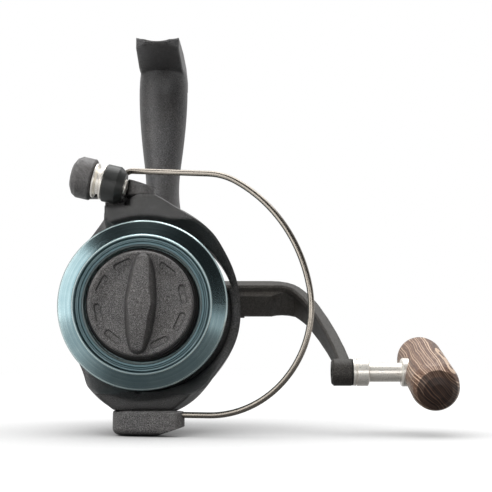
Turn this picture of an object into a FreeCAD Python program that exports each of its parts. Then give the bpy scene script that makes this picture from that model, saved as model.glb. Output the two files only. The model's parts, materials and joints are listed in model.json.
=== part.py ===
import FreeCAD, Part
import math
import os

V = FreeCAD.Vector

# Spinning reel in millimetres.  The shapes are made round the spool axis, which runs along Y with
# the spool at the -Y end, and are moved down by FOOT_HEIGHT when they are written, so that the
# origin of the part is at the middle of the foot's saddle.  +Z points to the rod, +X to the handle.

# ---- driving dimensions -------------------------------------------------------------------------
FOOT_HEIGHT = 92.0            # spool axis to the foot's saddle
FOOT_LENGTH_FRONT = 30.0
FOOT_LENGTH_REAR = 33.0
FOOT_WIDTH = 15.6
FOOT_TIP_WIDTH = 14.6
FOOT_TIP_THICKNESS = 1.3
FOOT_ROOT_THICKNESS = 4.2
FOOT_RISE = 2.3               # how far the foot's edges stand up beside the rod
SADDLE_RADIUS = 13.5          # the rod's reel seat that the foot lies against

WALL = 2.0                    # moulded walls of the body
BODY_LEFT = -13.0             # outside of the body's closed side
BODY_SPLIT = 9.0              # where the body and its side cover meet
COVER_THICKNESS = 2.6

DRIVE_Y = 1.0                 # handle and drive gear axis, behind and above the spool axis
DRIVE_Z = 7.0
DRIVE_SHAFT_RADIUS = 3.5

PINION_TEETH = 10
DRIVE_TEETH = 46
MODULE = 0.75
FACE_WIDTH = 3.0              # length of the drive gear's teeth
GEAR_WEB = 3.5                # thickness of the drive gear's disc
TOOTH_RELIEF = 0.4            # from the sweep of its teeth to the housing's webs

STEP_TEETH = 12
OSCILLATION_TEETH = 27
SPUR_MODULE = 0.8
SPUR_WIDTH = 3.0
OSCILLATION_DROP = 6.0        # oscillation gear's axis below the drive axis
STROKE = 13.0                 # full travel of the spool

SHAFT_RADIUS = 2.0
FIT = 0.05                    # radial clearance of every running fit
SHIM = 0.4

SPOOL_FRONT = -70.5           # the spool's front ring, at mid stroke
LIP_RADIUS = 25.0
LIP_WIDTH = 4.6               # the wide front face
RING_WIDTH = 3.3              # the stepped rings between that face and the knob's bore
ARBOR_RADIUS = 18.8
ARBOR_WALL = 1.6
ARBOR_FRONT = 7.2             # behind the spool's front ring, as are the next two
ARBOR_REAR = 19.5
SKIRT_FRONT = 21.3
SKIRT_INSET = 1.4             # the skirt is this much smaller than the lip
SKIRT_WALL = 1.4
SPOOL_LENGTH = 36.0

KNOB_CLEARANCE = 1.3          # round the drag knob, bridged by its seal
KNOB_PROUD = 3.8              # knob's edge in front of the spool's front ring
KNOB_GRIP_HEIGHT = 4.2
GRIP_HALF_WIDTH = 4.6
SLOT_ANGLES = [55.0, 15.0, -22.0, -61.0, 118.0, 157.0, 196.0, 234.0]
SLOT_LENGTH = 5.4
SLOT_WIDTH = 1.7
SLOT_DEPTH = 0.35
KNOB_TURN = 3.0               # the grip stands this many degrees off upright

ROTOR_REAR = -23.8
ROTOR_FRONT = -62.5
BASE_THICKNESS = 2.7          # the rotor's rear plate
CUP_WALL = 1.9
CUP_CLEARANCE = 1.4           # between the cup and the spool's skirt
LIP_CLEARANCE = 0.7           # between the lip and the rotor round it
CUP_FRONT = -41.5
FLOOR_FRONT = -38.5
FLOOR_THICKNESS = 2.3
NUT_THICKNESS = 3.9

PIVOT_X = -2.0                # bail pivot axis, parallel to Z
PIVOT_Y = -57.0
UPPER_ARM_DEPTH = 7.5         # from the arms' inside to where the levers lie on them
LOWER_ARM_DEPTH = 4.5
BAIL_TILT = 20.0              # the bail wire leans forward of square
WIRE_RADIUS = 0.88

ROLLER_SIDE = 7.4             # the wire root stands this far left of the bail pivot,
ROLLER_AHEAD = 5.0            # this far in front of it
ROLLER_RISE = 2.9             # and this far above the upper lever's seat
ROLLER_TILT = 13.0            # the roller axis rises this much towards its end cap
ROOT_RADIUS = 5.75
ROOT_LENGTH = 6.2
ROOT_GAP = 0.3                # between the root and the lever beside it
ROLLER_HEAD = 0.6
ROLLER_HEAD_RADIUS = 2.5
ROOT_END_RADIUS = 4.7         # the root narrows to this on the wire's side
ROLLER_RADIUS = 5.2
ROLLER_LENGTH = 3.0
CAP_RADIUS = 6.3
CAP_LENGTH = 6.5
SIDE_GAP = 0.2

HANDLE_RADIUS = 60.5          # handle axis to knob axis
HANDLE_DROP = 26.7            # how far the knob axis lies below the handle axis
SHANK_WIDTH = 5.6             # crank's top face along the shank
SHANK_FOOT_WIDTH = 7.2        # crank's lower part along the shank
CRANK_WIDTH = 3.9             # crank's rib and web beyond the bend
CRANK_WEB = 2.9
HANDLE_ROOT_DEPTH = 11.4
HANDLE_TIP_DEPTH = 7.0
CRANK_HUB_WIDTH = 6.0
CRANK_HUB_RADIUS = 4.1
KNOB_POST_RADIUS = 2.9
BAR_RADIUS = 7.2
BAR_LENGTH = 38.0
BAR_X = 85.5                  # distance of the T-bar's axis from the spool axis
BAR_SLOPE = 16.9              # the T-bar's tilt from level, degrees

POST_RADIUS = 2.5             # oscillation gear's post
CLUTCH_FRONT = -33.0
CLUTCH_REAR = -27.0
CLUTCH_RADIUS = 10.0
FLANGE_CLEARANCE = 2.0        # between the body's nose and the rotor's cup
BEARING_REAR = -22.0
PINION_BEARING_RADIUS = 7.0
PINION_JOURNAL = 3.95
PINION_TAIL = 2.85
PINION_NECK = 3.3             # where the rotor sits on the pinion
REAR_BUSH_RADIUS = 3.7
RIB_RADIUS = 4.5
GUIDE_Z = -7.0                # slider's guide rod
GUIDE_RADIUS = 1.2
GUIDE_FRONT = 2.0
GUIDE_REAR = 31.5
COVER_SCREW_RADIUS = 1.1
HEX_RADIUS = 2.6              # corners of the handle's hexagonal bar
COLLAR_LENGTH = 2.4
BEND_START = 39.5             # where the crank's outer edge starts to turn into the arm
SHANK_OUTSIDE = -2.1          # the shank's outer edge, along the arm from the handle axis
BENDS = [(11.8, 62.0), (61.0, 14.0)]     # (radius, turn) of the outer edge's first arcs
LAST_BEND = 9.0               # turn of its last arc, which ends at the knob's axis
KNUCKLE_LENGTH = 13.0
KNOB_TENON = 1.9
POST_END_RADIUS = 2.0
BUSH_RADIUS = 2.7

KNOB_BORE_DEPTH = 5.7
DRAG_BORE_DEPTH = 13.5
SPOOL_WEB = 2.5
SPOOL_HUB_RADIUS = 6.0
SPOOL_HUB_LENGTH = 2.0
SPOOL_BUSH_RADIUS = 3.0
WASHER = 1.0                  # thickness of each drag washer
WASHER_GAP = 0.04
CLICK_RADIUS = 5.6
CLICK_TEETH = 16
SLIDER_LENGTH = 6.0
SLIDER_LEFT = -3.3
SLIDER_RIGHT = 2.6
SLIDER_LOW = -9.2
SLIDER_TOP = 8.4
CRANK_PIN_RADIUS = 1.5
OPEN_PIVOT_GAP = 0.4          # crank pin's end to the slider's face
WIRE_PLANE_Y = -61.5          # where the wire's plane meets the plane of symmetry
WIRE_START = -9.5             # along the wire's plane
WIRE_END = 8.5
WIRE_RISE = 3.0               # the wire's start above the middle of its root
WIRE_DROP = 1.3               # the wire's end below the lower lever's seat
WIRE_HEADING = 22.0           # the wire leaves its root this steeply
WIRE_RUNS = [(3.9, 3.0, 27.6), (25.0, 21.5, 24.5), (0.0, 46.2, 49.2)]     # (straight, radius, turn)
LEVER_TIP = 10.5              # along the wire's plane
LEVER_TIP_RADIUS = 2.6
LEVER_ROUNDING = 0.9
LEVER_UNDERSIDE = 2.2         # rounding of its lower edge
SPRING_POCKET = 3.0
SPRING_RADIUS = 3.4
SPRING_WIRE = 0.3
SPRING_PITCH = 0.85
SPRING_TURNS = 2
SPRING_STEPS = 16
BRIDGE_THICKNESS = 3.4
SKIRT_THICKNESS = 1.4
ROLLER_BUSH_RADIUS = 2.6
ROLLER_SCREW_RADIUS = 1.5
WINDOW_RIM = 2.0              # width of the rotor's rim and its cup beside the see-through gaps
WINDOW_HALF_ANGLE = 17.0
WINDOW_ANGLES = [34.0, 146.0]
ARM_REACH = 12.0              # how far behind the pivots the arms' solid ends run
UPPER_ARM_LEFT = -12.3
ARM_ARCH = 1.9                # the arms' fronts are hollowed this much round the spool
ARCH_LENGTH = 5.0
ARCH_DROP = 0.4
# the rotor's form seen from the front, top to bottom, as (X, Z) for one side: at its widest and in front
WIDE_FORM = [(0, 34.4), (5.0, 33.4), (10.4, 30.8), (16.0, 27.2), (21.7, 21.6), (25.9, 15.3), (28.2, 7.0),
             (28.5, -2.0), (26.8, -9.2), (23.7, -15.6), (19.7, -22.0), (14.6, -27.9), (8.0, -31.8), (0, -33.2)]
FRONT_FORM = [(0, 34.4), (3.2, 33.2), (8.6, 30.0), (15.0, 26.2), (20.7, 21.4), (25.0, 15.3), (27.6, 7.0),
              (27.6, -2.0), (25.4, -9.2), (22.0, -15.2), (18.2, -21.6), (12.9, -27.2), (7.5, -31.2), (0, -33.0)]
FORM_LIP = 25.0               # the lip radius for which these forms are drawn
# the rotor's sections: (ahead of its rear, circle beyond the lip, share of the forms, share of the front form)
ROTOR_SECTIONS = [(0.0, 1.6, 0.0, 0.0), (3.7, 3.2, 0.15, 0.0), (8.2, 4.0, 0.4, 0.0), (13.2, 4.0, 0.7, 0.0),
                  (19.2, 4.0, 0.95, 0.0), (26.2, 4.0, 1.0, 0.0), (32.2, 4.0, 1.0, 0.45), (38.7, 4.0, 1.0, 1.0)]
# the edge of the deep U between the arms, seen from the side, as (Y, Z) above the axis
SIDE_OPENING = [(-29.0, 0.0), (-30.4, 7.0), (-34.0, 13.5), (-40.0, 18.8), (-47.0, 22.4), (-54.0, 24.6),
                (-64.0, 26.2)]
EAR = [(-8.0, -6.0), (-9.6, -5.6), (-11.0, -4.8), (-11.9, -3.7), (-12.3, -2.2), (-12.3, 0.0)]
EAR_DEPTH = 6.0
FLANK_DEPTH = 13.0            # how far below the roller's room the rotor's upper left is cut away
LOWER_FLAT = 9.0
UPPER_FLAT = 6.6
SWEEP_GAP = 0.65              # between the passing wire root and the arm
SWEEP_RADIUS = 26.0           # room over the upper arm for the line roller as the bail opens
HUB_RADIUS = 4.6
LOWER_HUB_RADIUS = 7.5
PIVOT_THREAD = 1.4
PIVOT_SHOULDER = 2.0
PIVOT_HEAD = 3.0
UPPER_GRIP = 1.9
LOWER_GRIP = 4.8
UPPER_HEAD = 0.9
LOWER_HEAD = 1.3
UPPER_HUB_HEIGHT = 5.4        # at its left edge; the hub's top slopes down to the right
UPPER_HUB_SLOPE = 18.0
LOWER_HUB_HEIGHT = 7.5
SHAFT_FLAT = 1.6              # half distance across the shaft's flats
PAWL_X = 9.6
SHAFT_IN_KNOB = 3.4           # from the knob's front edge back to the shaft's end
CLICK_WIDTH = 1.2
LATCH_GAP = 0.2
SCREW_LOBES = [(-13.0, -12.5, 4.0), (29.0, -9.5, 4.0), (22.0, 20.0, 4.0), (-13.5, 26.0, 4.0)]

# ---- worked out from them -----------------------------------------------------------------------
LIP_FACE_RADIUS = LIP_RADIUS - LIP_WIDTH
KNOB_BORE_RADIUS = LIP_FACE_RADIUS - RING_WIDTH
KNOB_RADIUS = KNOB_BORE_RADIUS - KNOB_CLEARANCE
DRAG_BORE_RADIUS = KNOB_RADIUS - 1.8
SKIRT_RADIUS = LIP_RADIUS - SKIRT_INSET
CUP_RADIUS = SKIRT_RADIUS - SKIRT_WALL - CUP_CLEARANCE
CUP_INSIDE = CUP_RADIUS - CUP_WALL
FLANGE_RADIUS = CUP_INSIDE - FLANGE_CLEARANCE
ROTOR_INSIDE = LIP_RADIUS + LIP_CLEARANCE
ARM_INSIDE = ROTOR_INSIDE + 0.5
UPPER_SEAT = ARM_INSIDE + UPPER_ARM_DEPTH
LOWER_SEAT = -ARM_INSIDE - LOWER_ARM_DEPTH
ROLLER_POINT = V(PIVOT_X - ROLLER_SIDE, PIVOT_Y - ROLLER_AHEAD, UPPER_SEAT + ROLLER_RISE)
SWEEP_FLOOR = ROLLER_POINT.z - ROOT_RADIUS - SWEEP_GAP
ROLLER_AXIS = V(-math.cos(math.radians(ROLLER_TILT)), 0, math.sin(math.radians(ROLLER_TILT)))
PINION_PITCH = PINION_TEETH * MODULE / 2
PINION_OUTER = PINION_PITCH + 0.93 * MODULE
PINION_ROOT = PINION_PITCH - 1.2 * MODULE
DRIVE_PITCH = DRIVE_TEETH * MODULE / 2
MESH_Y = DRIVE_Y - DRIVE_PITCH
GEAR_TIP_X = PINION_PITCH - 0.9 * MODULE
GEAR_ROOT_X = PINION_PITCH + 1.27 * MODULE
GEAR_BACK_X = GEAR_ROOT_X + GEAR_WEB
GEAR_RADIUS = math.hypot(DRIVE_PITCH + FACE_WIDTH / 2, DRIVE_Z) + 0.5
STEP_PITCH = STEP_TEETH * SPUR_MODULE / 2
OSCILLATION_PITCH = OSCILLATION_TEETH * SPUR_MODULE / 2
SPUR_DISTANCE = STEP_PITCH + OSCILLATION_PITCH + 0.1
OSCILLATION_Z = DRIVE_Z - OSCILLATION_DROP
OSCILLATION_Y = DRIVE_Y + math.sqrt(SPUR_DISTANCE ** 2 - OSCILLATION_DROP ** 2)
SPUR_RIGHT = -4.5
SPUR_LEFT = SPUR_RIGHT - SPUR_WIDTH
BEARING_WIDTH = 3.0
BEARING_RADIUS = 6.5
LEFT_BEARING_X = SPUR_LEFT - SHIM - BEARING_WIDTH
RIGHT_BEARING_X = GEAR_BACK_X + SHIM
CAVITY_GEAR_RADIUS = GEAR_RADIUS + 1.0
BODY_GEAR_RADIUS = CAVITY_GEAR_RADIUS + WALL
BODY_FRONT = DRIVE_Y - BODY_GEAR_RADIUS
COVER_OUTSIDE = BODY_SPLIT + COVER_THICKNESS
BOSS_OUTSIDE = RIGHT_BEARING_X + BEARING_WIDTH + 2.2
FLOOR_REAR = FLOOR_FRONT + FLOOR_THICKNESS
NUT_FRONT = FLOOR_FRONT - NUT_THICKNESS
TEETH_FRONT = MESH_Y - FACE_WIDTH / 2 - 1.6
TEETH_REAR = MESH_Y + FACE_WIDTH / 2 + 1.4
REAR_BUSH_FRONT = TEETH_REAR + 0.3
REAR_BUSH_REAR = REAR_BUSH_FRONT + 3.0
SHANK_START = BOSS_OUTSIDE + 0.6
SPUR_HEADING = math.degrees(math.atan2(OSCILLATION_Z - DRIVE_Z, OSCILLATION_Y - DRIVE_Y))
ARM_DIRECTION = V(0, -math.sqrt(HANDLE_RADIUS ** 2 - HANDLE_DROP ** 2), -HANDLE_DROP) / HANDLE_RADIUS
KNOB_AXIS_POINT = V(0, DRIVE_Y, DRIVE_Z) + ARM_DIRECTION * HANDLE_RADIUS
DRAG_FLOOR = SPOOL_FRONT + DRAG_BORE_DEPTH
WEB_REAR = DRAG_FLOOR + SPOOL_WEB
HUB_REAR = WEB_REAR + SPOOL_HUB_LENGTH
SHAFT_FRONT = SPOOL_FRONT - KNOB_PROUD + SHAFT_IN_KNOB
SLIDER_FRONT = OSCILLATION_Y - SLIDER_LENGTH / 2
SLIDER_REAR = OSCILLATION_Y + SLIDER_LENGTH / 2
CLICK_FRONT = HUB_REAR + 0.2
CLICK_REAR = CLICK_FRONT + CLICK_WIDTH
PIN_Y = CLICK_REAR + 0.8

os.makedirs("parts", exist_ok=True)


# ---- helpers ------------------------------------------------------------------------------------
def save(name, *solids):
    """Write one sub-part, moved so that the foot's saddle is at the origin."""
    shape = solids[0] if len(solids) == 1 else Part.makeCompound(list(solids))
    moved = shape.copy()
    moved.translate(V(0, 0, -FOOT_HEIGHT))
    moved.exportStep("parts/" + name + ".step")


def along_y(y0, y1, radius, x=0.0, z=0.0):
    return Part.makeCylinder(radius, y1 - y0, V(x, y0, z), V(0, 1, 0))


def along_x(x0, x1, radius, y=DRIVE_Y, z=DRIVE_Z):
    return Part.makeCylinder(radius, x1 - x0, V(x0, y, z), V(1, 0, 0))


def along_z(z0, z1, radius, x=PIVOT_X, y=PIVOT_Y):
    return Part.makeCylinder(radius, z1 - z0, V(x, y, z0), V(0, 0, 1))


def ring_y(y0, y1, inner, outer):
    return along_y(y0, y1, outer).cut(along_y(y0, y1, inner))


def ring_x(x0, x1, inner, outer, y=DRIVE_Y, z=DRIVE_Z):
    return along_x(x0, x1, outer, y, z).cut(along_x(x0, x1, inner, y, z))


def box(x0, x1, y0, y1, z0, z1):
    return Part.makeBox(x1 - x0, y1 - y0, z1 - z0, V(x0, y0, z0))


def turned(profile, origin=V(0, 0, 0), axis=V(0, 1, 0)):
    """A solid of revolution from (distance along the axis, radius) points."""
    points = [V(radius, 0, along) for along, radius in profile]
    face = Part.Face(Part.makePolygon(points + [points[0]]))
    solid = face.revolve(V(0, 0, 0), V(0, 0, 1), 360)
    solid.Placement = FreeCAD.Placement(origin, FreeCAD.Rotation(V(0, 0, 1), axis))
    return solid


def hull_face(circles, x):
    """A flat face at X = x round (y, z, radius) circles that are listed counter-clockwise."""
    sides = []
    for (y0, z0, r0), (y1, z1, r1) in zip(circles, circles[1:] + circles[:1]):
        heading = math.atan2(z1 - z0, y1 - y0)
        lean = math.asin((r0 - r1) / math.hypot(y1 - y0, z1 - z0))
        normal = heading - math.pi / 2 + lean
        step = V(0, math.cos(normal), math.sin(normal))
        sides.append((V(x, y0, z0) + step * r0, V(x, y1, z1) + step * r1))
    edges = []
    for index, (y0, z0, r0) in enumerate(circles):
        arrive = sides[index - 1][1]
        leave = sides[index][0]
        if (arrive - leave).Length > 1e-6:
            middle = (arrive + leave) * 0.5 - V(x, y0, z0)
            first = arrive - V(x, y0, z0)
            last = leave - V(x, y0, z0)
            turn = math.atan2(first.y * last.z - first.z * last.y, first.y * last.y + first.z * last.z)
            if turn < 0:
                turn += 2 * math.pi
            half = math.atan2(first.z, first.y) + turn / 2
            middle = V(x, y0 + r0 * math.cos(half), z0 + r0 * math.sin(half))
            edges.append(Part.Arc(arrive, middle, leave).toShape())
        edges.append(Part.makeLine(*sides[index]))
    return Part.Face(Part.Wire(edges))


def hull_block(circles, x0, x1):
    return hull_face(circles, x0).extrude(V(x1 - x0, 0, 0))


def oval(centre, half_x, half_y, normal="z"):
    """An ellipse with its start always on +X, so that lofts between ovals do not twist."""
    ring = Part.makeCircle(1.0)
    scale = FreeCAD.Matrix()
    scale.A11 = half_x
    scale.A22 = half_y
    ring = ring.transformGeometry(scale)
    if normal == "y":
        ring.rotate(V(0, 0, 0), V(1, 0, 0), 90)
    ring.translate(centre)
    return Part.Wire([ring])


def gear_points(teeth, stations, phase):
    """Corners of a toothed outline; each station is (radius, half width of a tooth in degrees)."""
    corners = []
    for index in range(teeth):
        middle = phase + 360.0 * index / teeth
        flank = [(radius, -half) for radius, half in stations]
        for radius, turn in flank + [(radius, half) for radius, half in reversed(stations)]:
            angle = math.radians(middle + turn)
            corners.append((radius * math.cos(angle), radius * math.sin(angle)))
    return corners


def gear_x(x0, x1, y, z, corners):
    points = [V(x0, y + a, z + b) for a, b in corners]
    return Part.Face(Part.makePolygon(points + [points[0]])).extrude(V(x1 - x0, 0, 0))


def gear_y(y0, y1, corners):
    points = [V(a, y0, b) for a, b in corners]
    return Part.Face(Part.makePolygon(points + [points[0]])).extrude(V(0, y1 - y0, 0))


def rounded(shape, radius, keep):
    """Fillet the edges for which keep(edge's bounding box) is true."""
    edges = [edge for edge in shape.Edges if keep(edge.BoundBox)]
    return shape.makeFillet(radius, edges)


# ---- body: housing, cover and what is fixed in them ---------------------------------------------
def body_outline():
    """The circles whose hull is the body's side view."""
    gear = (DRIVE_Y, DRIVE_Z, BODY_GEAR_RADIUS)
    rear = (OSCILLATION_Y + 13.0, OSCILLATION_Z + 1.0, 7.0)
    return [gear, rear] + SCREW_LOBES


def cavity_outline():
    gear = (DRIVE_Y, DRIVE_Z, CAVITY_GEAR_RADIUS)
    spur = (OSCILLATION_Y, OSCILLATION_Z, OSCILLATION_PITCH + SPUR_MODULE + 1.0)
    return [gear, spur]


def foot():
    """The thin saddle that the rod's reel seat clamps, thicker where the stem meets it."""
    top = FOOT_HEIGHT + FOOT_RISE
    front = -FOOT_LENGTH_FRONT
    rear = FOOT_LENGTH_REAR
    under = FOOT_HEIGHT - FOOT_TIP_THICKNESS
    root = FOOT_HEIGHT - FOOT_ROOT_THICKNESS
    side = [V(0, front, top), V(0, front, under + 1.0), V(0, front + 1.0, under), V(0, -12, root),
            V(0, 14, root), V(0, rear - 1.0, under), V(0, rear, under + 1.0), V(0, rear, top)]
    slab = Part.Face(Part.makePolygon(side + [side[0]])).extrude(V(FOOT_WIDTH, 0, 0))
    slab.translate(V(-FOOT_WIDTH / 2, 0, 0))
    tip = FOOT_TIP_WIDTH / 2
    wide = FOOT_WIDTH / 2
    corner = 3.0
    half = [V(0, front, 0), V(tip - corner, front, 0), V(tip, front + corner, 0), V(wide, -8, 0),
            V(wide, 10, 0), V(tip, rear - corner, 0), V(tip - corner, rear, 0), V(0, rear, 0)]
    mirrored = [V(-point.x, point.y, 0) for point in reversed(half[1:-1])]
    plan = Part.Face(Part.makePolygon(half + mirrored + [half[0]])).extrude(V(0, 0, top + 10))
    saddle = along_y(front - 1, rear + 1, SADDLE_RADIUS, 0, FOOT_HEIGHT + SADDLE_RADIUS)
    return slab.common(plan).cut(saddle)


def stem():
    """A waisted oval column from the body's back to the foot."""
    sections = [(20.0, 0.0, 9.7, 18.0), (34.0, 0.5, 7.6, 12.0), (45.0, 0.8, 6.0, 9.0), (57.0, 1.0, 6.9, 7.8),
                (73.0, 1.0, 8.5, 8.4), (FOOT_HEIGHT - 6.0, 1.0, 8.7, 10.2), (FOOT_HEIGHT - 2.0, 1.0, 8.2, 14.5)]
    rings = [oval(V(0, y, z), half_x, half_y) for z, y, half_x, half_y in sections]
    return Part.makeLoft(rings, True)


def body_housing():
    shell = hull_block(simple_hull(body_outline()), BODY_LEFT, BODY_SPLIT)
    shell = rounded(shell, 3.0, lambda b: b.XMax < BODY_LEFT + 0.1)
    shell = shell.fuse(along_y(BODY_FRONT, BODY_FRONT + 10, 20.3))
    shell = shell.fuse(along_y(CLUTCH_FRONT, BODY_FRONT + 1, FLANGE_RADIUS))
    shell = shell.fuse([stem(), foot()])
    shell = shell.cut(cover_space())
    cavity = hull_block(simple_hull(cavity_outline()), BODY_LEFT + WALL, BODY_SPLIT + 1)
    cavity = cavity.cut(box(-30, 30, -60, BODY_FRONT + WALL, -40, 60))
    shell = shell.cut(cavity)
    shell = shell.cut(rear_channel())
    left_boss = along_x(BODY_LEFT + 1, LEFT_BEARING_X + BEARING_WIDTH, BEARING_RADIUS + 1.7)
    post = along_x(BODY_LEFT + 1, SPUR_RIGHT, POST_RADIUS, OSCILLATION_Y, OSCILLATION_Z)
    post_foot = along_x(BODY_LEFT + 1, SPUR_LEFT - 0.1, POST_RADIUS + 1.2, OSCILLATION_Y, OSCILLATION_Z)
    rear_rib = box(BODY_LEFT + 1, -1.5, REAR_BUSH_FRONT, REAR_BUSH_REAR, -3.4, 3.4)
    rear_rib = rear_rib.fuse(along_y(REAR_BUSH_FRONT, REAR_BUSH_REAR, RIB_RADIUS))
    guide_rib = box(BODY_LEFT + 1, 2.2, GUIDE_FRONT, GUIDE_FRONT + 2.5, GUIDE_Z - 2.4, GUIDE_Z + 2.4)
    shell = shell.fuse([left_boss, post, post_foot, rear_rib, guide_rib])
    shell = shell.cut(along_y(CLUTCH_FRONT - 1, CLUTCH_REAR, CLUTCH_RADIUS))
    shell = shell.cut(along_y(CLUTCH_REAR - 1, BEARING_REAR, PINION_BEARING_RADIUS))
    shell = shell.cut(along_y(BEARING_REAR - 1, REAR_BUSH_FRONT, PINION_OUTER + 0.6))
    shell = shell.cut(along_y(REAR_BUSH_FRONT - 1, REAR_BUSH_REAR + 1, REAR_BUSH_RADIUS))
    shell = shell.cut(along_x(LEFT_BEARING_X, 0, BEARING_RADIUS))
    shell = shell.cut(along_x(BODY_LEFT - 1, LEFT_BEARING_X + 1, 4.6))
    shell = shell.cut(along_x(SPUR_RIGHT - 4, SPUR_RIGHT + 1, 1.0, OSCILLATION_Y, OSCILLATION_Z))
    teeth_inside = DRIVE_PITCH - FACE_WIDTH / 2 - TOOTH_RELIEF
    shell = shell.cut(ring_x(GEAR_TIP_X - TOOTH_RELIEF, GEAR_ROOT_X, teeth_inside, GEAR_RADIUS + TOOTH_RELIEF))
    shell = shell.cut(along_y(GUIDE_FRONT - 1, GUIDE_REAR, GUIDE_RADIUS, 0, GUIDE_Z))
    for y, z, radius in SCREW_LOBES:
        shell = shell.cut(along_x(BODY_SPLIT - 7, BODY_SPLIT + 1, COVER_SCREW_RADIUS, y, z))
    for x, z in retainer_screw_places():
        shell = shell.cut(along_y(CLUTCH_FRONT - 1, CLUTCH_FRONT + 4, 0.9, x, z))
    return shell


def simple_hull(circles):
    """Drop the circles that lie inside the others' hull, and sort the rest."""
    outer = []
    for index in range(720):
        angle = math.radians(index * 0.5 + 0.25)
        reach = [y * math.cos(angle) + z * math.sin(angle) + radius for y, z, radius in circles]
        best = circles[reach.index(max(reach))]
        if not outer or outer[-1] != best:
            outer.append(best)
    if len(outer) > 1 and outer[0] == outer[-1]:
        outer.pop()
    return outer


def cover_space():
    """The room that the side cover takes beside the stem's base."""
    return hull_block(simple_hull(body_outline()), BODY_SPLIT, BODY_SPLIT + 20)


def rear_channel():
    """The passage behind the gears for the shaft's tail and the slider."""
    rear = OSCILLATION_Y + SLIDER_LENGTH / 2 + STROKE / 2 + 0.8
    return box(-6.0, BODY_SPLIT + 1, OSCILLATION_Y, rear, SLIDER_LOW - 0.4, SLIDER_TOP + 0.8)


def retainer_screw_places():
    places = []
    for index in range(3):
        angle = math.radians(90 + 120 * index)
        places.append((13.2 * math.cos(angle), 13.2 * math.sin(angle)))
    return places


def side_cover():
    cover = hull_block(simple_hull(body_outline()), BODY_SPLIT, COVER_OUTSIDE)
    cover = rounded(cover, 1.6, lambda b: b.XMin > COVER_OUTSIDE - 0.1)
    cover = cover.fuse(turned([(0, 0), (0, 11.0), (1.0, 10.8), (BOSS_OUTSIDE - COVER_OUTSIDE, 8.6),
                               (BOSS_OUTSIDE - COVER_OUTSIDE, 0)],
                              V(COVER_OUTSIDE, DRIVE_Y, DRIVE_Z), V(1, 0, 0)))
    cover = cover.cut(along_x(BODY_SPLIT - 1, RIGHT_BEARING_X + BEARING_WIDTH, BEARING_RADIUS))
    cover = cover.cut(along_x(RIGHT_BEARING_X, BOSS_OUTSIDE + 1, 5.2))
    for y, z, radius in SCREW_LOBES:
        cover = cover.cut(along_x(BODY_SPLIT - 1, COVER_OUTSIDE + 1, COVER_SCREW_RADIUS, y, z))
        cover = cover.cut(along_x(COVER_OUTSIDE - 1.4, COVER_OUTSIDE + 1, 2.2, y, z))
    return cover


def screw_x(x_head, y, z, head_radius, head, shank_radius, shank):
    """A screw whose head faces +X, with a cross recess."""
    screw = along_x(x_head - head, x_head, head_radius, y, z)
    screw = screw.fuse(along_x(x_head - head - shank, x_head - head, shank_radius, y, z))
    slot = box(x_head - 0.6, x_head + 1, y - head_radius * 0.65, y + head_radius * 0.65, z - 0.3, z + 0.3)
    cross = box(x_head - 0.6, x_head + 1, y - 0.3, y + 0.3, z - head_radius * 0.65, z + head_radius * 0.65)
    return screw.cut([slot, cross])


def bearing(x0, inner, outer, width):
    """A shielded ball bearing on the drive axis: two races with the shields sunk between them."""
    third = (outer - inner) / 3
    race = ring_x(x0, x0 + width, inner, outer)
    for side in (x0 - 1, x0 + width - 0.3):
        race = race.cut(ring_x(side, side + 1.3, inner + third, outer - third))
    return race


def bearing_y(y0, inner, outer, width):
    third = (outer - inner) / 3
    race = ring_y(y0, y0 + width, inner, outer)
    for side in (y0 - 1, y0 + width - 0.3):
        race = race.cut(ring_y(side, side + 1.3, inner + third, outer - third))
    return race


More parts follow.
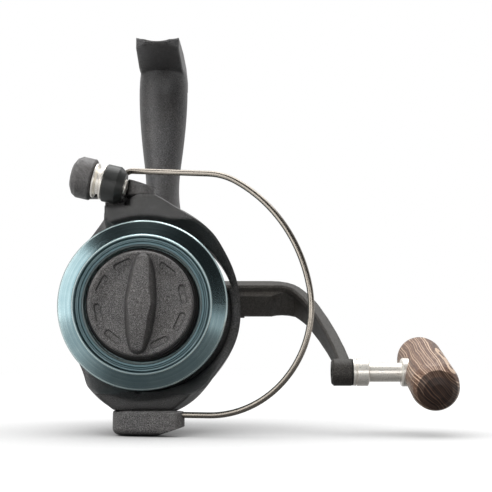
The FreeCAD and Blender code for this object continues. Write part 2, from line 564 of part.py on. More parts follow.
def make_body():
    save("body_housing", body_housing())
    save("side_cover", side_cover())
    save("side_cover_screws", *[screw_x(COVER_OUTSIDE - 0.2, y, z, 2.1, 1.2, COVER_SCREW_RADIUS, 6.4)
                                for y, z, radius in SCREW_LOBES])
    save("pinion_bearing", bearing_y(BEARING_REAR - 4.0, PINION_JOURNAL + FIT, PINION_BEARING_RADIUS, 4.0))
    clutch = ring_y(CLUTCH_FRONT + 0.2, CLUTCH_REAR, 7.2, CLUTCH_RADIUS)
    rollers = []
    for index in range(8):
        angle = math.radians(45 * index)
        x = 6.55 * math.cos(angle)
        z = 6.55 * math.sin(angle)
        rollers.append(along_y(CLUTCH_FRONT + 0.8, CLUTCH_REAR - 0.6, 0.62, x, z))
    save("one_way_clutch", clutch)
    save("clutch_rollers", *rollers)
    plate = ring_y(CLUTCH_FRONT - 1.2, CLUTCH_FRONT, 6.6, 15.6)
    for x, z in retainer_screw_places():
        plate = plate.cut(along_y(CLUTCH_FRONT - 2, CLUTCH_FRONT + 1, 0.9, x, z))
    save("clutch_retainer", plate)
    screws = []
    for x, z in retainer_screw_places():
        screw = along_y(CLUTCH_FRONT - 2.2, CLUTCH_FRONT - 1.2, 1.7, x, z)
        screws.append(screw.fuse(along_y(CLUTCH_FRONT - 1.2, CLUTCH_FRONT + 3.5, 0.9, x, z)))
    save("retainer_screws", *screws)
    save("pinion_rear_bush", ring_y(REAR_BUSH_FRONT, REAR_BUSH_REAR, PINION_TAIL + FIT, REAR_BUSH_RADIUS))
    save("left_drive_bearing", bearing(LEFT_BEARING_X, DRIVE_SHAFT_RADIUS + FIT, BEARING_RADIUS, BEARING_WIDTH))
    save("right_drive_bearing", bearing(RIGHT_BEARING_X, DRIVE_SHAFT_RADIUS + FIT, BEARING_RADIUS, BEARING_WIDTH))
    save("slider_guide_rod", along_y(GUIDE_FRONT, GUIDE_REAR, GUIDE_RADIUS, 0, GUIDE_Z))
    cap = turned([(0, 0), (0, 8.4), (1.4, 8.0), (2.4, 6.4), (2.4, 0)],
                 V(BODY_LEFT, DRIVE_Y, DRIVE_Z), V(-1, 0, 0))
    cap = cap.fuse(along_x(BODY_LEFT, LEFT_BEARING_X, 4.5))
    cap = cap.cut(along_x(BODY_LEFT - 0.8, LEFT_BEARING_X + 1, 3.3))
    cap = cap.cut(box(BODY_LEFT - 3, BODY_LEFT - 1.5, DRIVE_Y - 4.5, DRIVE_Y + 4.5, DRIVE_Z - 0.8, DRIVE_Z + 0.8))
    save("left_side_cap", cap)


# ---- handle and drive gear ----------------------------------------------------------------------
def drive_gear():
    """A face gear: its straight teeth touch a circle as far off the axis as the shafts are offset,
    so that in mesh they lie along the pinion."""
    disc = along_x(GEAR_ROOT_X, GEAR_BACK_X, GEAR_RADIUS)
    disc = disc.cut(ring_x(GEAR_ROOT_X + 1.6, GEAR_BACK_X + 1, 6.5, GEAR_RADIUS - 5.0))
    teeth = []
    for index in range(DRIVE_TEETH):
        tooth = face_tooth()
        tooth.rotate(V(0, DRIVE_Y, DRIVE_Z), V(1, 0, 0), 360.0 * index / DRIVE_TEETH)
        teeth.append(tooth)
    gear = disc.fuse(teeth)
    gear = gear.fuse(along_x(LEFT_BEARING_X, RIGHT_BEARING_X + BEARING_WIDTH, DRIVE_SHAFT_RADIUS))
    return gear.cut(hexagon(LEFT_BEARING_X - 1, RIGHT_BEARING_X + BEARING_WIDTH + 1, HEX_RADIUS + FIT))


def face_tooth():
    """The tooth that stands in the mesh when the gear is at rest."""
    y0 = MESH_Y - FACE_WIDTH / 2
    profile = [(GEAR_ROOT_X + 0.4, -0.66), (GEAR_ROOT_X, -0.66), (GEAR_TIP_X, -0.2),
               (GEAR_TIP_X, 0.2), (GEAR_ROOT_X, 0.66), (GEAR_ROOT_X + 0.4, 0.66)]
    points = [V(x, y0, z) for x, z in profile]
    return Part.Face(Part.makePolygon(points + [points[0]])).extrude(V(0, FACE_WIDTH, 0))


def hexagon(x0, x1, radius):
    """A six-sided bar on the drive axis."""
    points = []
    for index in range(6):
        angle = math.radians(60 * index)
        points.append(V(x0, DRIVE_Y + radius * math.cos(angle), DRIVE_Z + radius * math.sin(angle)))
    return Part.Face(Part.makePolygon(points + [points[0]])).extrude(V(x1 - x0, 0, 0))


def crank_edge(steps):
    """Points on the crank's outer edge: (distance out along X, distance along the arm, heading)."""
    out, down, heading = BEND_START, SHANK_OUTSIDE, 0.0
    bends = list(BENDS)
    turned_so_far = sum(turn for radius, turn in bends)
    for radius, turn in BENDS:
        down += radius * (math.cos(math.radians(heading)) - math.cos(math.radians(heading + turn)))
        heading += turn
    last = math.cos(math.radians(turned_so_far)) - math.cos(math.radians(turned_so_far + LAST_BEND))
    bends.append(((HANDLE_RADIUS - down) / last, LAST_BEND))
    places = [(BEND_START, SHANK_OUTSIDE, 0.0)]
    heading = 0.0
    for radius, turn in bends:
        start_out, start_down, start = places[-1]
        for index in range(1, steps + 1):
            angle = start + turn * index / steps
            places.append((start_out + radius * (math.sin(math.radians(angle)) - math.sin(math.radians(start))),
                           start_down + radius * (math.cos(math.radians(start)) - math.cos(math.radians(angle))),
                           angle))
    return places


def crank_section(out, down, heading, depth, width, web):
    """The crank's section: a rib along its top and a web below, both measured from its outer edge."""
    upward = V(0, ARM_DIRECTION.z, -ARM_DIRECTION.y)
    turn = math.radians(heading)
    inward = ARM_DIRECTION * math.cos(turn) - V(1, 0, 0) * math.sin(turn)
    edge = V(out, DRIVE_Y, DRIVE_Z) + ARM_DIRECTION * down
    half = depth / 2
    chamfer = 0.7
    rib = half - 2.2
    step = abs(web - width) * 0.7
    shape = [(0, chamfer - half), (0, half - chamfer), (chamfer, half), (width - chamfer, half),
             (width, half - chamfer), (width, rib), (web, rib - step), (web, chamfer - half),
             (web - chamfer, -half), (chamfer, -half)]
    points = [edge + inward * a + upward * b for a, b in shape]
    return Part.makePolygon(points + [points[0]])


def crank_end():
    """X of the crank's outer face at the knob."""
    return crank_edge(1)[-1][0]


def handle_arm():
    sections = []
    for out, down, heading in crank_edge(4):
        share = max(down, 0.0) / HANDLE_RADIUS
        bent = min(heading / BENDS[0][1], 1.0)
        depth = HANDLE_ROOT_DEPTH + (HANDLE_TIP_DEPTH - HANDLE_ROOT_DEPTH) * share
        width = SHANK_WIDTH + (CRANK_WIDTH - SHANK_WIDTH) * bent
        web = SHANK_FOOT_WIDTH + (CRANK_WEB - SHANK_FOOT_WIDTH) * bent
        sections.append(crank_section(out, down, heading, depth, width, web))
    arm = Part.makeLoft(sections, True, True)
    root = crank_section(BEND_START, SHANK_OUTSIDE, 0.0, HANDLE_ROOT_DEPTH, SHANK_WIDTH, SHANK_FOOT_WIDTH)
    shank_start = SHANK_START + COLLAR_LENGTH
    shank = Part.Face(root).extrude(V(shank_start - BEND_START, 0, 0))
    neck = along_x(shank_start, shank_start + 4.0, HANDLE_ROOT_DEPTH / 2)
    knuckle = crank_section(shank_start, SHANK_OUTSIDE + 1.4, 0.0, HANDLE_ROOT_DEPTH + 1.4,
                            SHANK_WIDTH - 1.4, SHANK_FOOT_WIDTH - 1.8)
    knuckle = Part.Face(knuckle).extrude(V(KNUCKLE_LENGTH, 0, 0))
    knuckle = knuckle.cut(box(0, 99, -40, 40, DRIVE_Z, 60))
    end_x = crank_end()
    y, z = KNOB_AXIS_POINT.y, KNOB_AXIS_POINT.z
    hub = turned([(0, 0), (0, CRANK_HUB_RADIUS - 0.7), (0.7, CRANK_HUB_RADIUS), (CRANK_HUB_WIDTH, CRANK_HUB_RADIUS),
                  (CRANK_HUB_WIDTH, 0)], V(end_x - CRANK_HUB_WIDTH, y, z), V(1, 0, 0))
    spigot = hexagon(LEFT_BEARING_X + 2, shank_start + 1, HEX_RADIUS)
    arm = arm.fuse([shank, neck, knuckle, hub, spigot])
    arm = arm.cut(along_x(end_x, end_x + 20, CRANK_HUB_RADIUS + 1, y, z))
    return arm.cut(along_x(end_x - CRANK_HUB_WIDTH - 1, end_x + 1, KNOB_TENON, y, z))


def spur_stations(teeth):
    """Root, pitch and tip of the oscillation train's teeth, thin enough to run with play."""
    pitch = teeth * SPUR_MODULE / 2
    share = 360.0 / teeth
    return [(pitch - 1.2 * SPUR_MODULE, 0.34 * share), (pitch, 0.215 * share), (pitch + 0.9 * SPUR_MODULE, 0.09 * share)]


def make_drive():
    save("drive_gear", drive_gear())
    corners = gear_points(STEP_TEETH, spur_stations(STEP_TEETH), SPUR_HEADING)
    step = gear_x(SPUR_LEFT, SPUR_RIGHT, DRIVE_Y, DRIVE_Z, corners)
    save("step_gear", step.cut(along_x(SPUR_LEFT - 1, SPUR_RIGHT + 1, DRIVE_SHAFT_RADIUS)))
    save("drive_gear_shims", ring_x(GEAR_BACK_X, RIGHT_BEARING_X, DRIVE_SHAFT_RADIUS, 4.6),
         ring_x(LEFT_BEARING_X + BEARING_WIDTH, SPUR_LEFT, DRIVE_SHAFT_RADIUS, 4.6))
    save("handle_collar", turned([(0, HEX_RADIUS + FIT), (0, 5.9), (COLLAR_LENGTH * 0.5, 6.6),
                                  (COLLAR_LENGTH, 6.6), (COLLAR_LENGTH, HEX_RADIUS + FIT)],
                                 V(SHANK_START, DRIVE_Y, DRIVE_Z), V(1, 0, 0)))
    spacer = ring_x(RIGHT_BEARING_X + BEARING_WIDTH, SHANK_START, HEX_RADIUS + FIT, 4.6)
    save("drive_shaft_spacer", spacer)
    save("handle_arm", handle_arm())
    y, z = KNOB_AXIS_POINT.y, KNOB_AXIS_POINT.z
    end_x = crank_end()
    bar_left = BAR_X - BAR_RADIUS
    post = turned([(0.3 - CRANK_HUB_WIDTH, 0), (0.3 - CRANK_HUB_WIDTH, KNOB_TENON), (0.5, KNOB_TENON), (0.5, 4.0), (1.3, 4.15), (1.5, 3.8),
                   (1.8, 4.15), (5.0, 4.15), (5.3, 3.7), (5.3, KNOB_POST_RADIUS),
                   (bar_left + 0.4 - end_x, KNOB_POST_RADIUS), (bar_left + 0.4 - end_x, POST_END_RADIUS),
                   (BAR_X + 5.2 - end_x, POST_END_RADIUS), (BAR_X + 5.2 - end_x, 0)],
                  V(end_x, y, z), V(1, 0, 0))
    save("knob_post", post)
    save("knob_post_washer", ring_x(end_x, end_x + 0.5, KNOB_TENON, 4.0, y, z))
    save("knob_screw", knob_screw(y, z))


def knob_screw(y, z):
    head = along_x(BAR_X + 5.2, BAR_X + 6.4, 3.0, y, z)
    slot = box(BAR_X + 5.9, BAR_X + 7, y - 2.2, y + 2.2, z - 0.4, z + 0.4)
    return head.cut(slot)


# ---- knob on the handle -------------------------------------------------------------------------
def bar_frame():
    """The T-bar's direction, level but for its slope, and its middle."""
    slope = math.radians(BAR_SLOPE)
    return V(0, -math.cos(slope), -math.sin(slope)), V(BAR_X, KNOB_AXIS_POINT.y, KNOB_AXIS_POINT.z)


def make_knob():
    direction, middle = bar_frame()
    y, z = KNOB_AXIS_POINT.y, KNOB_AXIS_POINT.z
    half = BAR_LENGTH / 2
    profile = [(-half, 0), (-half, 2.2), (-half + 0.5, 4.2), (-half + 1.6, 5.9), (-half + 3.2, 6.8),
               (-half + 5.5, BAR_RADIUS), (half - 5.5, BAR_RADIUS), (half - 3.2, 6.8),
               (half - 1.6, 5.9), (half - 0.5, 4.2), (half, 2.2), (half, 0)]
    bar = turned(profile, middle, direction)
    left = BAR_X - BAR_RADIUS
    bar = bar.cut(along_x(left - 1, BAR_X + BAR_RADIUS + 1, BUSH_RADIUS, y, z))
    bar = bar.cut(along_x(BAR_X + 5.0, BAR_X + BAR_RADIUS + 1, 3.5, y, z))
    bar = bar.cut(along_x(left - 1, left + 1.8, 4.3, y, z))
    save("t_bar_knob", bar)
    bushes = [ring_x(left + 1.9, left + 5.4, POST_END_RADIUS + FIT, BUSH_RADIUS, y, z),
              ring_x(BAR_X + 1.4, BAR_X + 4.9, POST_END_RADIUS + FIT, BUSH_RADIUS, y, z)]
    save("knob_bushes", *bushes)
    save("knob_ferrule", turned([(0, KNOB_POST_RADIUS + FIT), (0, 3.9), (0.4, 4.3), (2.6, 4.3),
                                 (2.6, KNOB_POST_RADIUS + FIT)], V(left - 0.8, y, z), V(1, 0, 0)))


# ---- rotor --------------------------------------------------------------------------------------
def form_ring(y, circle, share, mix):
    """A closed outline at Y = y between a circle (share 0) and the drawn forms (share 1)."""
    half = []
    for wide, front in zip(WIDE_FORM, FRONT_FORM):
        x = wide[0] + (front[0] - wide[0]) * mix
        z = wide[1] + (front[1] - wide[1]) * mix
        drawn = math.hypot(x, z) + LIP_RADIUS - FORM_LIP
        radius = circle + (drawn - circle) * share
        angle = math.atan2(x, z)
        half.append(V(radius * math.sin(angle), y, radius * math.cos(angle)))
    points = half + [V(-point.x, y, point.z) for point in reversed(half[1:-1])]
    curve = Part.BSplineCurve()
    curve.interpolate(points, PeriodicFlag=True)
    return Part.Wire([curve.toShape()])


def rotor_skin():
    """The rotor's outer form: round at the back, taller than wide towards the front."""
    rings = [form_ring(ROTOR_REAR - ahead, LIP_RADIUS + stand_off, share, mix)
             for ahead, stand_off, share, mix in ROTOR_SECTIONS]
    return Part.makeLoft(rings, True)


def side_opening():
    """The deep U between the two arms, cut right through along X."""
    curve = Part.BSplineCurve()
    points = [V(-40, y, -z) for y, z in reversed(SIDE_OPENING[1:])] + [V(-40, y, z) for y, z in SIDE_OPENING]
    curve.interpolate(points)
    front = [points[-1], V(-40, -80, points[-1].z), V(-40, -80, points[0].z), points[0]]
    lines = [Part.makeLine(a, b) for a, b in zip(front, front[1:])]
    return Part.Face(Part.Wire([curve.toShape()] + lines)).extrude(V(80, 0, 0))


def rim_window(angle):
    """A see-through gap between the rotor's rim and its cup."""
    inner = CUP_RADIUS + WINDOW_RIM
    outer = LIP_RADIUS + 3.9 - WINDOW_RIM
    half = WINDOW_HALF_ANGLE
    ring = ring_y(ROTOR_REAR - 20, ROTOR_REAR + 5, inner, outer)
    points = [V(0, ROTOR_REAR - 21, 0)]
    for turn in (-half, 0, half):
        place = math.radians(angle + turn)
        points.append(V(60 * math.cos(place), ROTOR_REAR - 21, 60 * math.sin(place)))
    wedge = Part.Face(Part.makePolygon(points + [points[0]])).extrude(V(0, 30, 0))
    return ring.common(wedge)


def spline_prism(points, closing, direction):
    """Extrude the area between a smooth curve and the straight lines through its closing points."""
    curve = Part.BSplineCurve()
    curve.interpolate(points)
    chain = [points[-1]] + closing + [points[0]]
    lines = [Part.makeLine(a, b) for a, b in zip(chain, chain[1:])]
    return Part.Face(Part.Wire([curve.toShape()] + lines)).extrude(direction)


def ear():
    """The upper arm's left flank below the line roller."""
    points = [V(x, ROTOR_FRONT, SWEEP_FLOOR + z) for x, z in EAR]
    points = points + [V(0, ROTOR_FRONT, SWEEP_FLOOR), V(0, ROTOR_FRONT, SWEEP_FLOOR - EAR_DEPTH)]
    return Part.Face(Part.makePolygon(points + [points[0]])).extrude(V(0, ARM_REACH, 0))


def flank_cut():
    """The room left of the upper arm, where the rotor's wall runs back to the rim."""
    left = UPPER_ARM_LEFT
    low = SWEEP_FLOOR - FLANK_DEPTH
    points = [V(left, ROTOR_FRONT - 1, low), V(left - 0.6, PIVOT_Y + 2, low), V(left - 2.2, PIVOT_Y + 10, low),
              V(left - 6.0, PIVOT_Y + 16, low), V(left - 14.0, PIVOT_Y + 20, low), V(-60, PIVOT_Y + 22, low)]
    return spline_prism(points, [V(-60, ROTOR_FRONT - 1, low)], V(0, 0, 60))


def arch():
    """The hollow in the arms' fronts round the spool."""
    wide = ROTOR_INSIDE + ARM_ARCH
    return turned([(-1, 0), (-1, wide), (0, wide), (ARCH_LENGTH, ROTOR_INSIDE - ARCH_DROP), (ARCH_LENGTH, 0)],
                  V(0, ROTOR_FRONT, -ARCH_DROP))


def sector(radius, first, last, z0, z1):
    """A flat-topped sector round the bail pivot, between two angles from +X."""
    steps = 12
    points = [V(PIVOT_X, PIVOT_Y, z0)]
    for index in range(steps + 1):
        angle = math.radians(first + (last - first) * index / steps)
        points.append(V(PIVOT_X + radius * math.cos(angle), PIVOT_Y + radius * math.sin(angle), z0))
    return Part.Face(Part.makePolygon(points + [points[0]])).extrude(V(0, 0, z1 - z0))


def rotor():
    whole = rotor_skin().cut(side_opening()).cut(flank_cut())
    base = along_y(ROTOR_REAR - BASE_THICKNESS, ROTOR_REAR, LIP_RADIUS + 1.0)
    whole = whole.fuse([base, along_y(CUP_FRONT, ROTOR_REAR, CUP_RADIUS), ear()])
    whole = whole.cut(along_y(CUP_FRONT - 1, FLOOR_FRONT, CUP_INSIDE))
    whole = whole.cut(along_y(FLOOR_REAR, ROTOR_REAR + 1, CUP_INSIDE))
    whole = whole.cut(along_y(FLOOR_FRONT - 1, FLOOR_REAR + 1, PINION_NECK))
    whole = whole.cut(along_y(ROTOR_FRONT - 1, CUP_FRONT, ROTOR_INSIDE))
    whole = whole.cut(ring_y(CUP_FRONT - 1, ROTOR_REAR - BASE_THICKNESS, CUP_RADIUS, ROTOR_INSIDE))
    whole = whole.cut(arch())
    for angle in WINDOW_ANGLES:
        whole = whole.cut(rim_window(angle))
    whole = whole.cut(box(-40, 40, ROTOR_FRONT - 1, PIVOT_Y + LOWER_FLAT, -60, LOWER_SEAT))
    whole = whole.cut(sector(SWEEP_RADIUS, 8.0, 245.0, SWEEP_FLOOR, 60).cut(
        along_z(SWEEP_FLOOR - 1, UPPER_SEAT, HUB_RADIUS + 0.3)))
    whole = whole.cut(box(-40, 40, ROTOR_FRONT - 1, PIVOT_Y + UPPER_FLAT, UPPER_SEAT, 60))
    for seat in (UPPER_SEAT, LOWER_SEAT):
        inner = ARM_INSIDE if seat > 0 else -ARM_INSIDE
        low, high = min(seat, inner), max(seat, inner)
        whole = whole.cut(along_z(low - 1, high + 1, PIVOT_THREAD))
    return whole


def pivot_screw(seat, sign, grip, head):
    """A shouldered screw: thread in the arm, shoulder through the lever, head outside."""
    arm = abs(seat) - ARM_INSIDE
    profile = [(-arm + 0.3, 0), (-arm + 0.3, PIVOT_THREAD), (0, PIVOT_THREAD), (0, PIVOT_SHOULDER),
               (grip, PIVOT_SHOULDER), (grip, PIVOT_HEAD), (grip + head, PIVOT_HEAD), (grip + head, 0)]
    screw = turned(profile, V(PIVOT_X, PIVOT_Y, seat), V(0, 0, sign))
    top = seat + sign * (grip + head)
    slot = box(PIVOT_X - 2.1, PIVOT_X + 2.1, PIVOT_Y - 0.35, PIVOT_Y + 0.35, min(top, top - sign * 0.5),
               max(top, top - sign * 0.5))
    return screw.cut(slot)


def make_rotor():
    save("rotor", rotor())
    corners = gear_points(PINION_TEETH, [(PINION_ROOT, 12.0), (PINION_PITCH, 7.6), (PINION_OUTER, 3.4)],
                          180.0 / PINION_TEETH)
    pinion = gear_y(TEETH_FRONT, TEETH_REAR, corners)
    pinion = pinion.fuse([along_y(FLOOR_REAR, TEETH_FRONT, PINION_JOURNAL),
                          along_y(NUT_FRONT + 0.6, FLOOR_REAR, PINION_NECK),
                          along_y(TEETH_REAR, REAR_BUSH_REAR + 0.4, PINION_TAIL)])
    save("pinion", pinion.cut(along_y(NUT_FRONT, 0, SHAFT_RADIUS + FIT)))
    sleeve = ring_y(CLUTCH_FRONT + 0.2, CLUTCH_REAR, PINION_JOURNAL, 5.85)
    save("clutch_sleeve", sleeve)
    nut_points = []
    for index in range(6):
        angle = math.radians(60 * index)
        nut_points.append((6.8 * math.cos(angle), 6.8 * math.sin(angle)))
    nut = gear_y(NUT_FRONT, FLOOR_FRONT, nut_points).cut(along_y(NUT_FRONT - 1, FLOOR_FRONT + 1, PINION_NECK))
    save("rotor_nut", nut)
    save("upper_pivot_screw", pivot_screw(UPPER_SEAT, 1, UPPER_GRIP, UPPER_HEAD))
    save("lower_pivot_screw", pivot_screw(LOWER_SEAT, -1, LOWER_GRIP, LOWER_HEAD))


# ---- shaft, slider and spool --------------------------------------------------------------------
def main_shaft():
    shaft = along_y(SHAFT_FRONT, SLIDER_REAR + 0.6, SHAFT_RADIUS)
    for sign in (1, -1):
        x0, x1 = (SHAFT_FLAT, 3) if sign > 0 else (-3, -SHAFT_FLAT)
        shaft = shaft.cut(box(x0, x1, SHAFT_FRONT - 1, DRAG_FLOOR - 0.2, -3, 3))
    shaft = shaft.cut(along_x(-3, 3, 0.7, PIN_Y, 0))
    return shaft.cut(along_z(SHAFT_RADIUS - 0.8, 3, 0.9, 0, OSCILLATION_Y))


def slider():
    block = box(SLIDER_LEFT, SLIDER_RIGHT, SLIDER_FRONT, SLIDER_REAR, SLIDER_LOW, SLIDER_TOP)
    block = rounded(block, 0.8, lambda b: b.XLength > 5)
    block = block.cut(along_y(SLIDER_FRONT - 1, SLIDER_REAR + 1, SHAFT_RADIUS))
    block = block.cut(along_y(SLIDER_FRONT - 1, SLIDER_REAR + 1, GUIDE_RADIUS + FIT, 0, GUIDE_Z))
    slot = CRANK_PIN_RADIUS + 0.2
    block = block.cut(box(SLIDER_LEFT - 1, SLIDER_LEFT + 1.1, OSCILLATION_Y - slot, OSCILLATION_Y + slot,
                          OSCILLATION_Z - STROKE / 2 - slot, SLIDER_TOP + 1))
    return block.cut(along_z(0, SLIDER_TOP + 1, 0.9, 0, OSCILLATION_Y))


def oscillation_gear():
    corners = gear_points(OSCILLATION_TEETH, spur_stations(OSCILLATION_TEETH),
                          SPUR_HEADING + 180.0 + 180.0 / OSCILLATION_TEETH)
    gear = gear_x(SPUR_LEFT, SPUR_RIGHT, OSCILLATION_Y, OSCILLATION_Z, corners)
    gear = gear.cut(along_x(SPUR_LEFT - 1, SPUR_RIGHT + 1, POST_RADIUS + FIT, OSCILLATION_Y, OSCILLATION_Z))
    pin = along_x(SPUR_RIGHT - 1, SLIDER_LEFT - OPEN_PIVOT_GAP, CRANK_PIN_RADIUS, OSCILLATION_Y,
                  OSCILLATION_Z + STROKE / 2)
    return gear.fuse(pin)


def drag_washer(y0, inner, outer, ears, keyed):
    washer = along_y(y0, y0 + WASHER, outer)
    if ears:
        washer = washer.fuse(box(-2.0, 2.0, y0, y0 + WASHER, -DRAG_BORE_RADIUS - 0.9, DRAG_BORE_RADIUS + 0.9))
    hole = along_y(y0 - 1, y0 + WASHER + 1, inner)
    if keyed:
        hole = hole.common(box(-SHAFT_FLAT, SHAFT_FLAT, y0 - 1, y0 + WASHER + 1, -9, 9))
    return washer.cut(hole)


def spool():
    front = SPOOL_FRONT
    rear = front + SPOOL_LENGTH
    inside = SKIRT_RADIUS - SKIRT_WALL
    ring = LIP_FACE_RADIUS
    inner = KNOB_BORE_RADIUS
    bore = ARBOR_RADIUS - ARBOR_WALL
    skirt = front + SKIRT_FRONT
    profile = [(front + 0.7, inner), (front + 0.3, inner + 0.5), (front + 0.3, inner + 1.1),
               (front, inner + 1.3), (front, inner + 1.6), (front + 1.0, inner + 1.8),
               (front + 1.0, ring - 1.0), (front + 0.2, ring - 0.8), (front, ring - 0.5), (front, ring - 0.2),
               (front + 0.3, ring + 0.1), (front + 0.5, ring + 0.2), (front + 2.2, LIP_RADIUS - 0.4),
               (front + 2.7, LIP_RADIUS), (front + 3.2, LIP_RADIUS), (front + 3.8, LIP_RADIUS - 0.5),
               (front + ARBOR_FRONT - 0.8, ARBOR_RADIUS + 0.6), (front + ARBOR_FRONT, ARBOR_RADIUS),
               (front + ARBOR_REAR, ARBOR_RADIUS), (skirt - 1.0, SKIRT_RADIUS - 1.4), (skirt, SKIRT_RADIUS),
               (rear, SKIRT_RADIUS), (rear, inside), (skirt + 1.7, inside), (skirt + 0.1, inside - 1.4),
               (skirt - 0.3, bore), (WEB_REAR, bore), (WEB_REAR, SPOOL_HUB_RADIUS),
               (HUB_REAR, SPOOL_HUB_RADIUS), (HUB_REAR, SPOOL_BUSH_RADIUS + FIT),
               (DRAG_FLOOR, SPOOL_BUSH_RADIUS + FIT), (DRAG_FLOOR, DRAG_BORE_RADIUS),
               (front + KNOB_BORE_DEPTH, DRAG_BORE_RADIUS), (front + KNOB_BORE_DEPTH, inner)]
    shape = turned(profile)
    reach = DRAG_BORE_RADIUS + 1.0
    shape = shape.cut(box(-2.1, 2.1, front + KNOB_BORE_DEPTH - 1, DRAG_FLOOR, -reach, reach))
    return shape.cut(along_y(DRAG_FLOOR + 0.8, WEB_REAR + 1, 0.8, PAWL_X, 0))


def click_pawl():
    y0, y1 = HUB_REAR + LATCH_GAP, CLICK_REAR
    pawl = along_y(WEB_REAR, y1, 1.9, PAWL_X, 0)
    tip = CLICK_RADIUS + 0.25
    points = [V(PAWL_X, y0, 1.6), V(tip, y0, 0.5), V(tip, y0, -0.5), V(PAWL_X, y0, -1.6)]
    arm = Part.Face(Part.makePolygon(points + [points[0]])).extrude(V(0, y1 - y0, 0))
    return pawl.fuse(arm).cut(along_y(WEB_REAR - 1, y1 + 1, 0.8, PAWL_X, 0))


def line_clip():
    clip = ring_y(-45.5, -43.0, SKIRT_RADIUS, SKIRT_RADIUS + 0.9)
    return clip.common(box(-30, -10, -50, -40, -3.2, 3.2))


def make_shaft_and_spool():
    save("main_shaft", main_shaft())
    save("slider_block", slider())
    save("slider_screw", along_z(SHAFT_RADIUS - 0.8, SLIDER_TOP - 0.6, 0.9, 0, OSCILLATION_Y))
    save("oscillation_gear", oscillation_gear())
    post_screw = along_x(SPUR_RIGHT + FIT, SLIDER_LEFT - OPEN_PIVOT_GAP, 3.6, OSCILLATION_Y, OSCILLATION_Z)
    save("gear_post_screw", post_screw.fuse(
        along_x(SPUR_RIGHT - 4, SPUR_RIGHT + FIT, 1.0, OSCILLATION_Y, OSCILLATION_Z)))
    save("spool_bush", ring_y(DRAG_FLOOR, HUB_REAR, SHAFT_RADIUS, SPOOL_BUSH_RADIUS))
    save("shaft_pin", along_x(-4.2, 4.2, 0.7, PIN_Y, 0))
    corners = gear_points(CLICK_TEETH, [(CLICK_RADIUS - 0.7, 9.0), (CLICK_RADIUS, 3.0)], 0.0)
    save("click_gear", gear_y(CLICK_FRONT, CLICK_REAR, corners).cut(
        along_y(CLICK_FRONT - 1, CLICK_REAR + 1, SHAFT_RADIUS)))
    save("spool", spool())
    save("click_pawl", click_pawl())
    save("click_pawl_screw", along_y(DRAG_FLOOR + 0.8, CLICK_REAR, 0.8, PAWL_X, 0).fuse(
        along_y(CLICK_REAR, CLICK_REAR + 0.6, 1.5, PAWL_X, 0)))
    save("line_clip", line_clip())
    step = WASHER + WASHER_GAP
    places = [DRAG_FLOOR - step * (index + 1) for index in range(6)]
    outer = DRAG_BORE_RADIUS - 0.4
    save("drag_felt_washers", *[drag_washer(places[index], SPOOL_BUSH_RADIUS + 0.6, outer, False, False)
                                for index in (0, 2, 4)])
    save("drag_keyed_washers", *[drag_washer(places[index], SHAFT_RADIUS, outer - 0.4, False, True)
                                 for index in (1, 5)])
    save("drag_eared_washer", drag_washer(places[3], SPOOL_BUSH_RADIUS + 0.6, outer, True, False))
    top = places[5] - 0.1
    save("drag_retaining_ring", ring_y(top - 0.8, top, DRAG_BORE_RADIUS - 1.6, DRAG_BORE_RADIUS))
    return places[5]


# ---- drag knob ----------------------------------------------------------------------------------
def lens(y, half_width, half_end, half_length):
    """The grip's outline in the plane Y = y: two long arcs and two short ends."""
    corners = [V(-half_end, y, -half_length), V(half_end, y, -half_length), V(half_end, y, half_length),
               V(-half_end, y, half_length)]
    right = Part.Arc(corners[1], V(half_width, y, 0), corners[2]).toShape()
    left = Part.Arc(corners[3], V(-half_width, y, 0), corners[0]).toShape()
    return Part.Wire([Part.makeLine(corners[0], corners[1]), right, Part.makeLine(corners[2], corners[3]), left])


def knob_slot(angle, edge, face):
    """One of the shallow round-ended slots in the knob's dished rim, at an angle from +X."""
    radius = KNOB_RADIUS - 2.9
    floor = edge + 0.2 + (face - edge - 0.2) * 1.6 / 3.7 + SLOT_DEPTH
    half = (SLOT_LENGTH - SLOT_WIDTH) / 2
    slot = box(radius - SLOT_WIDTH / 2, radius + SLOT_WIDTH / 2, edge - 1, floor, -half, half)
    slot = slot.fuse([along_y(edge - 1, floor, SLOT_WIDTH / 2, radius, end) for end in (-half, half)])
    slot.rotate(V(0, 0, 0), V(0, 1, 0), -angle)
    return slot


def drag_knob(press_y):
    edge = SPOOL_FRONT - KNOB_PROUD
    face = edge + 1.1
    rear = SPOOL_FRONT + KNOB_BORE_DEPTH - 0.9
    profile = [(rear, KNOB_RADIUS), (edge + 0.6, KNOB_RADIUS), (edge, KNOB_RADIUS - 0.6),
               (edge + 0.2, KNOB_RADIUS - 1.3), (face, KNOB_RADIUS - 5.0), (face, 0), (face + 2.0, 0),
               (face + 2.0, 4.2), (press_y - 0.1, 4.2), (press_y - 0.1, 7.4), (face + 2.0, 7.4),
               (face + 2.4, KNOB_RADIUS - 1.8), (rear, KNOB_RADIUS - 1.8)]
    knob = turned(profile)
    grip = Part.makeLoft([lens(face + 0.8, GRIP_HALF_WIDTH, 2.3, KNOB_RADIUS - 0.3),
                          lens(face - KNOB_GRIP_HEIGHT, GRIP_HALF_WIDTH - 1.2, 1.5, KNOB_RADIUS - 0.9)], True, True)
    arch = 34.0
    grip = grip.common(along_x(-10, 10, arch, face - KNOB_GRIP_HEIGHT + arch, 0))
    grip = grip.common(along_y(face - 10, face + 1, KNOB_RADIUS - 0.25))
    for angle in SLOT_ANGLES:
        knob = knob.cut(knob_slot(angle, edge, face))
    knob = knob.fuse(grip)
    knob.rotate(V(0, 0, 0), V(0, 1, 0), KNOB_TURN)
    return knob


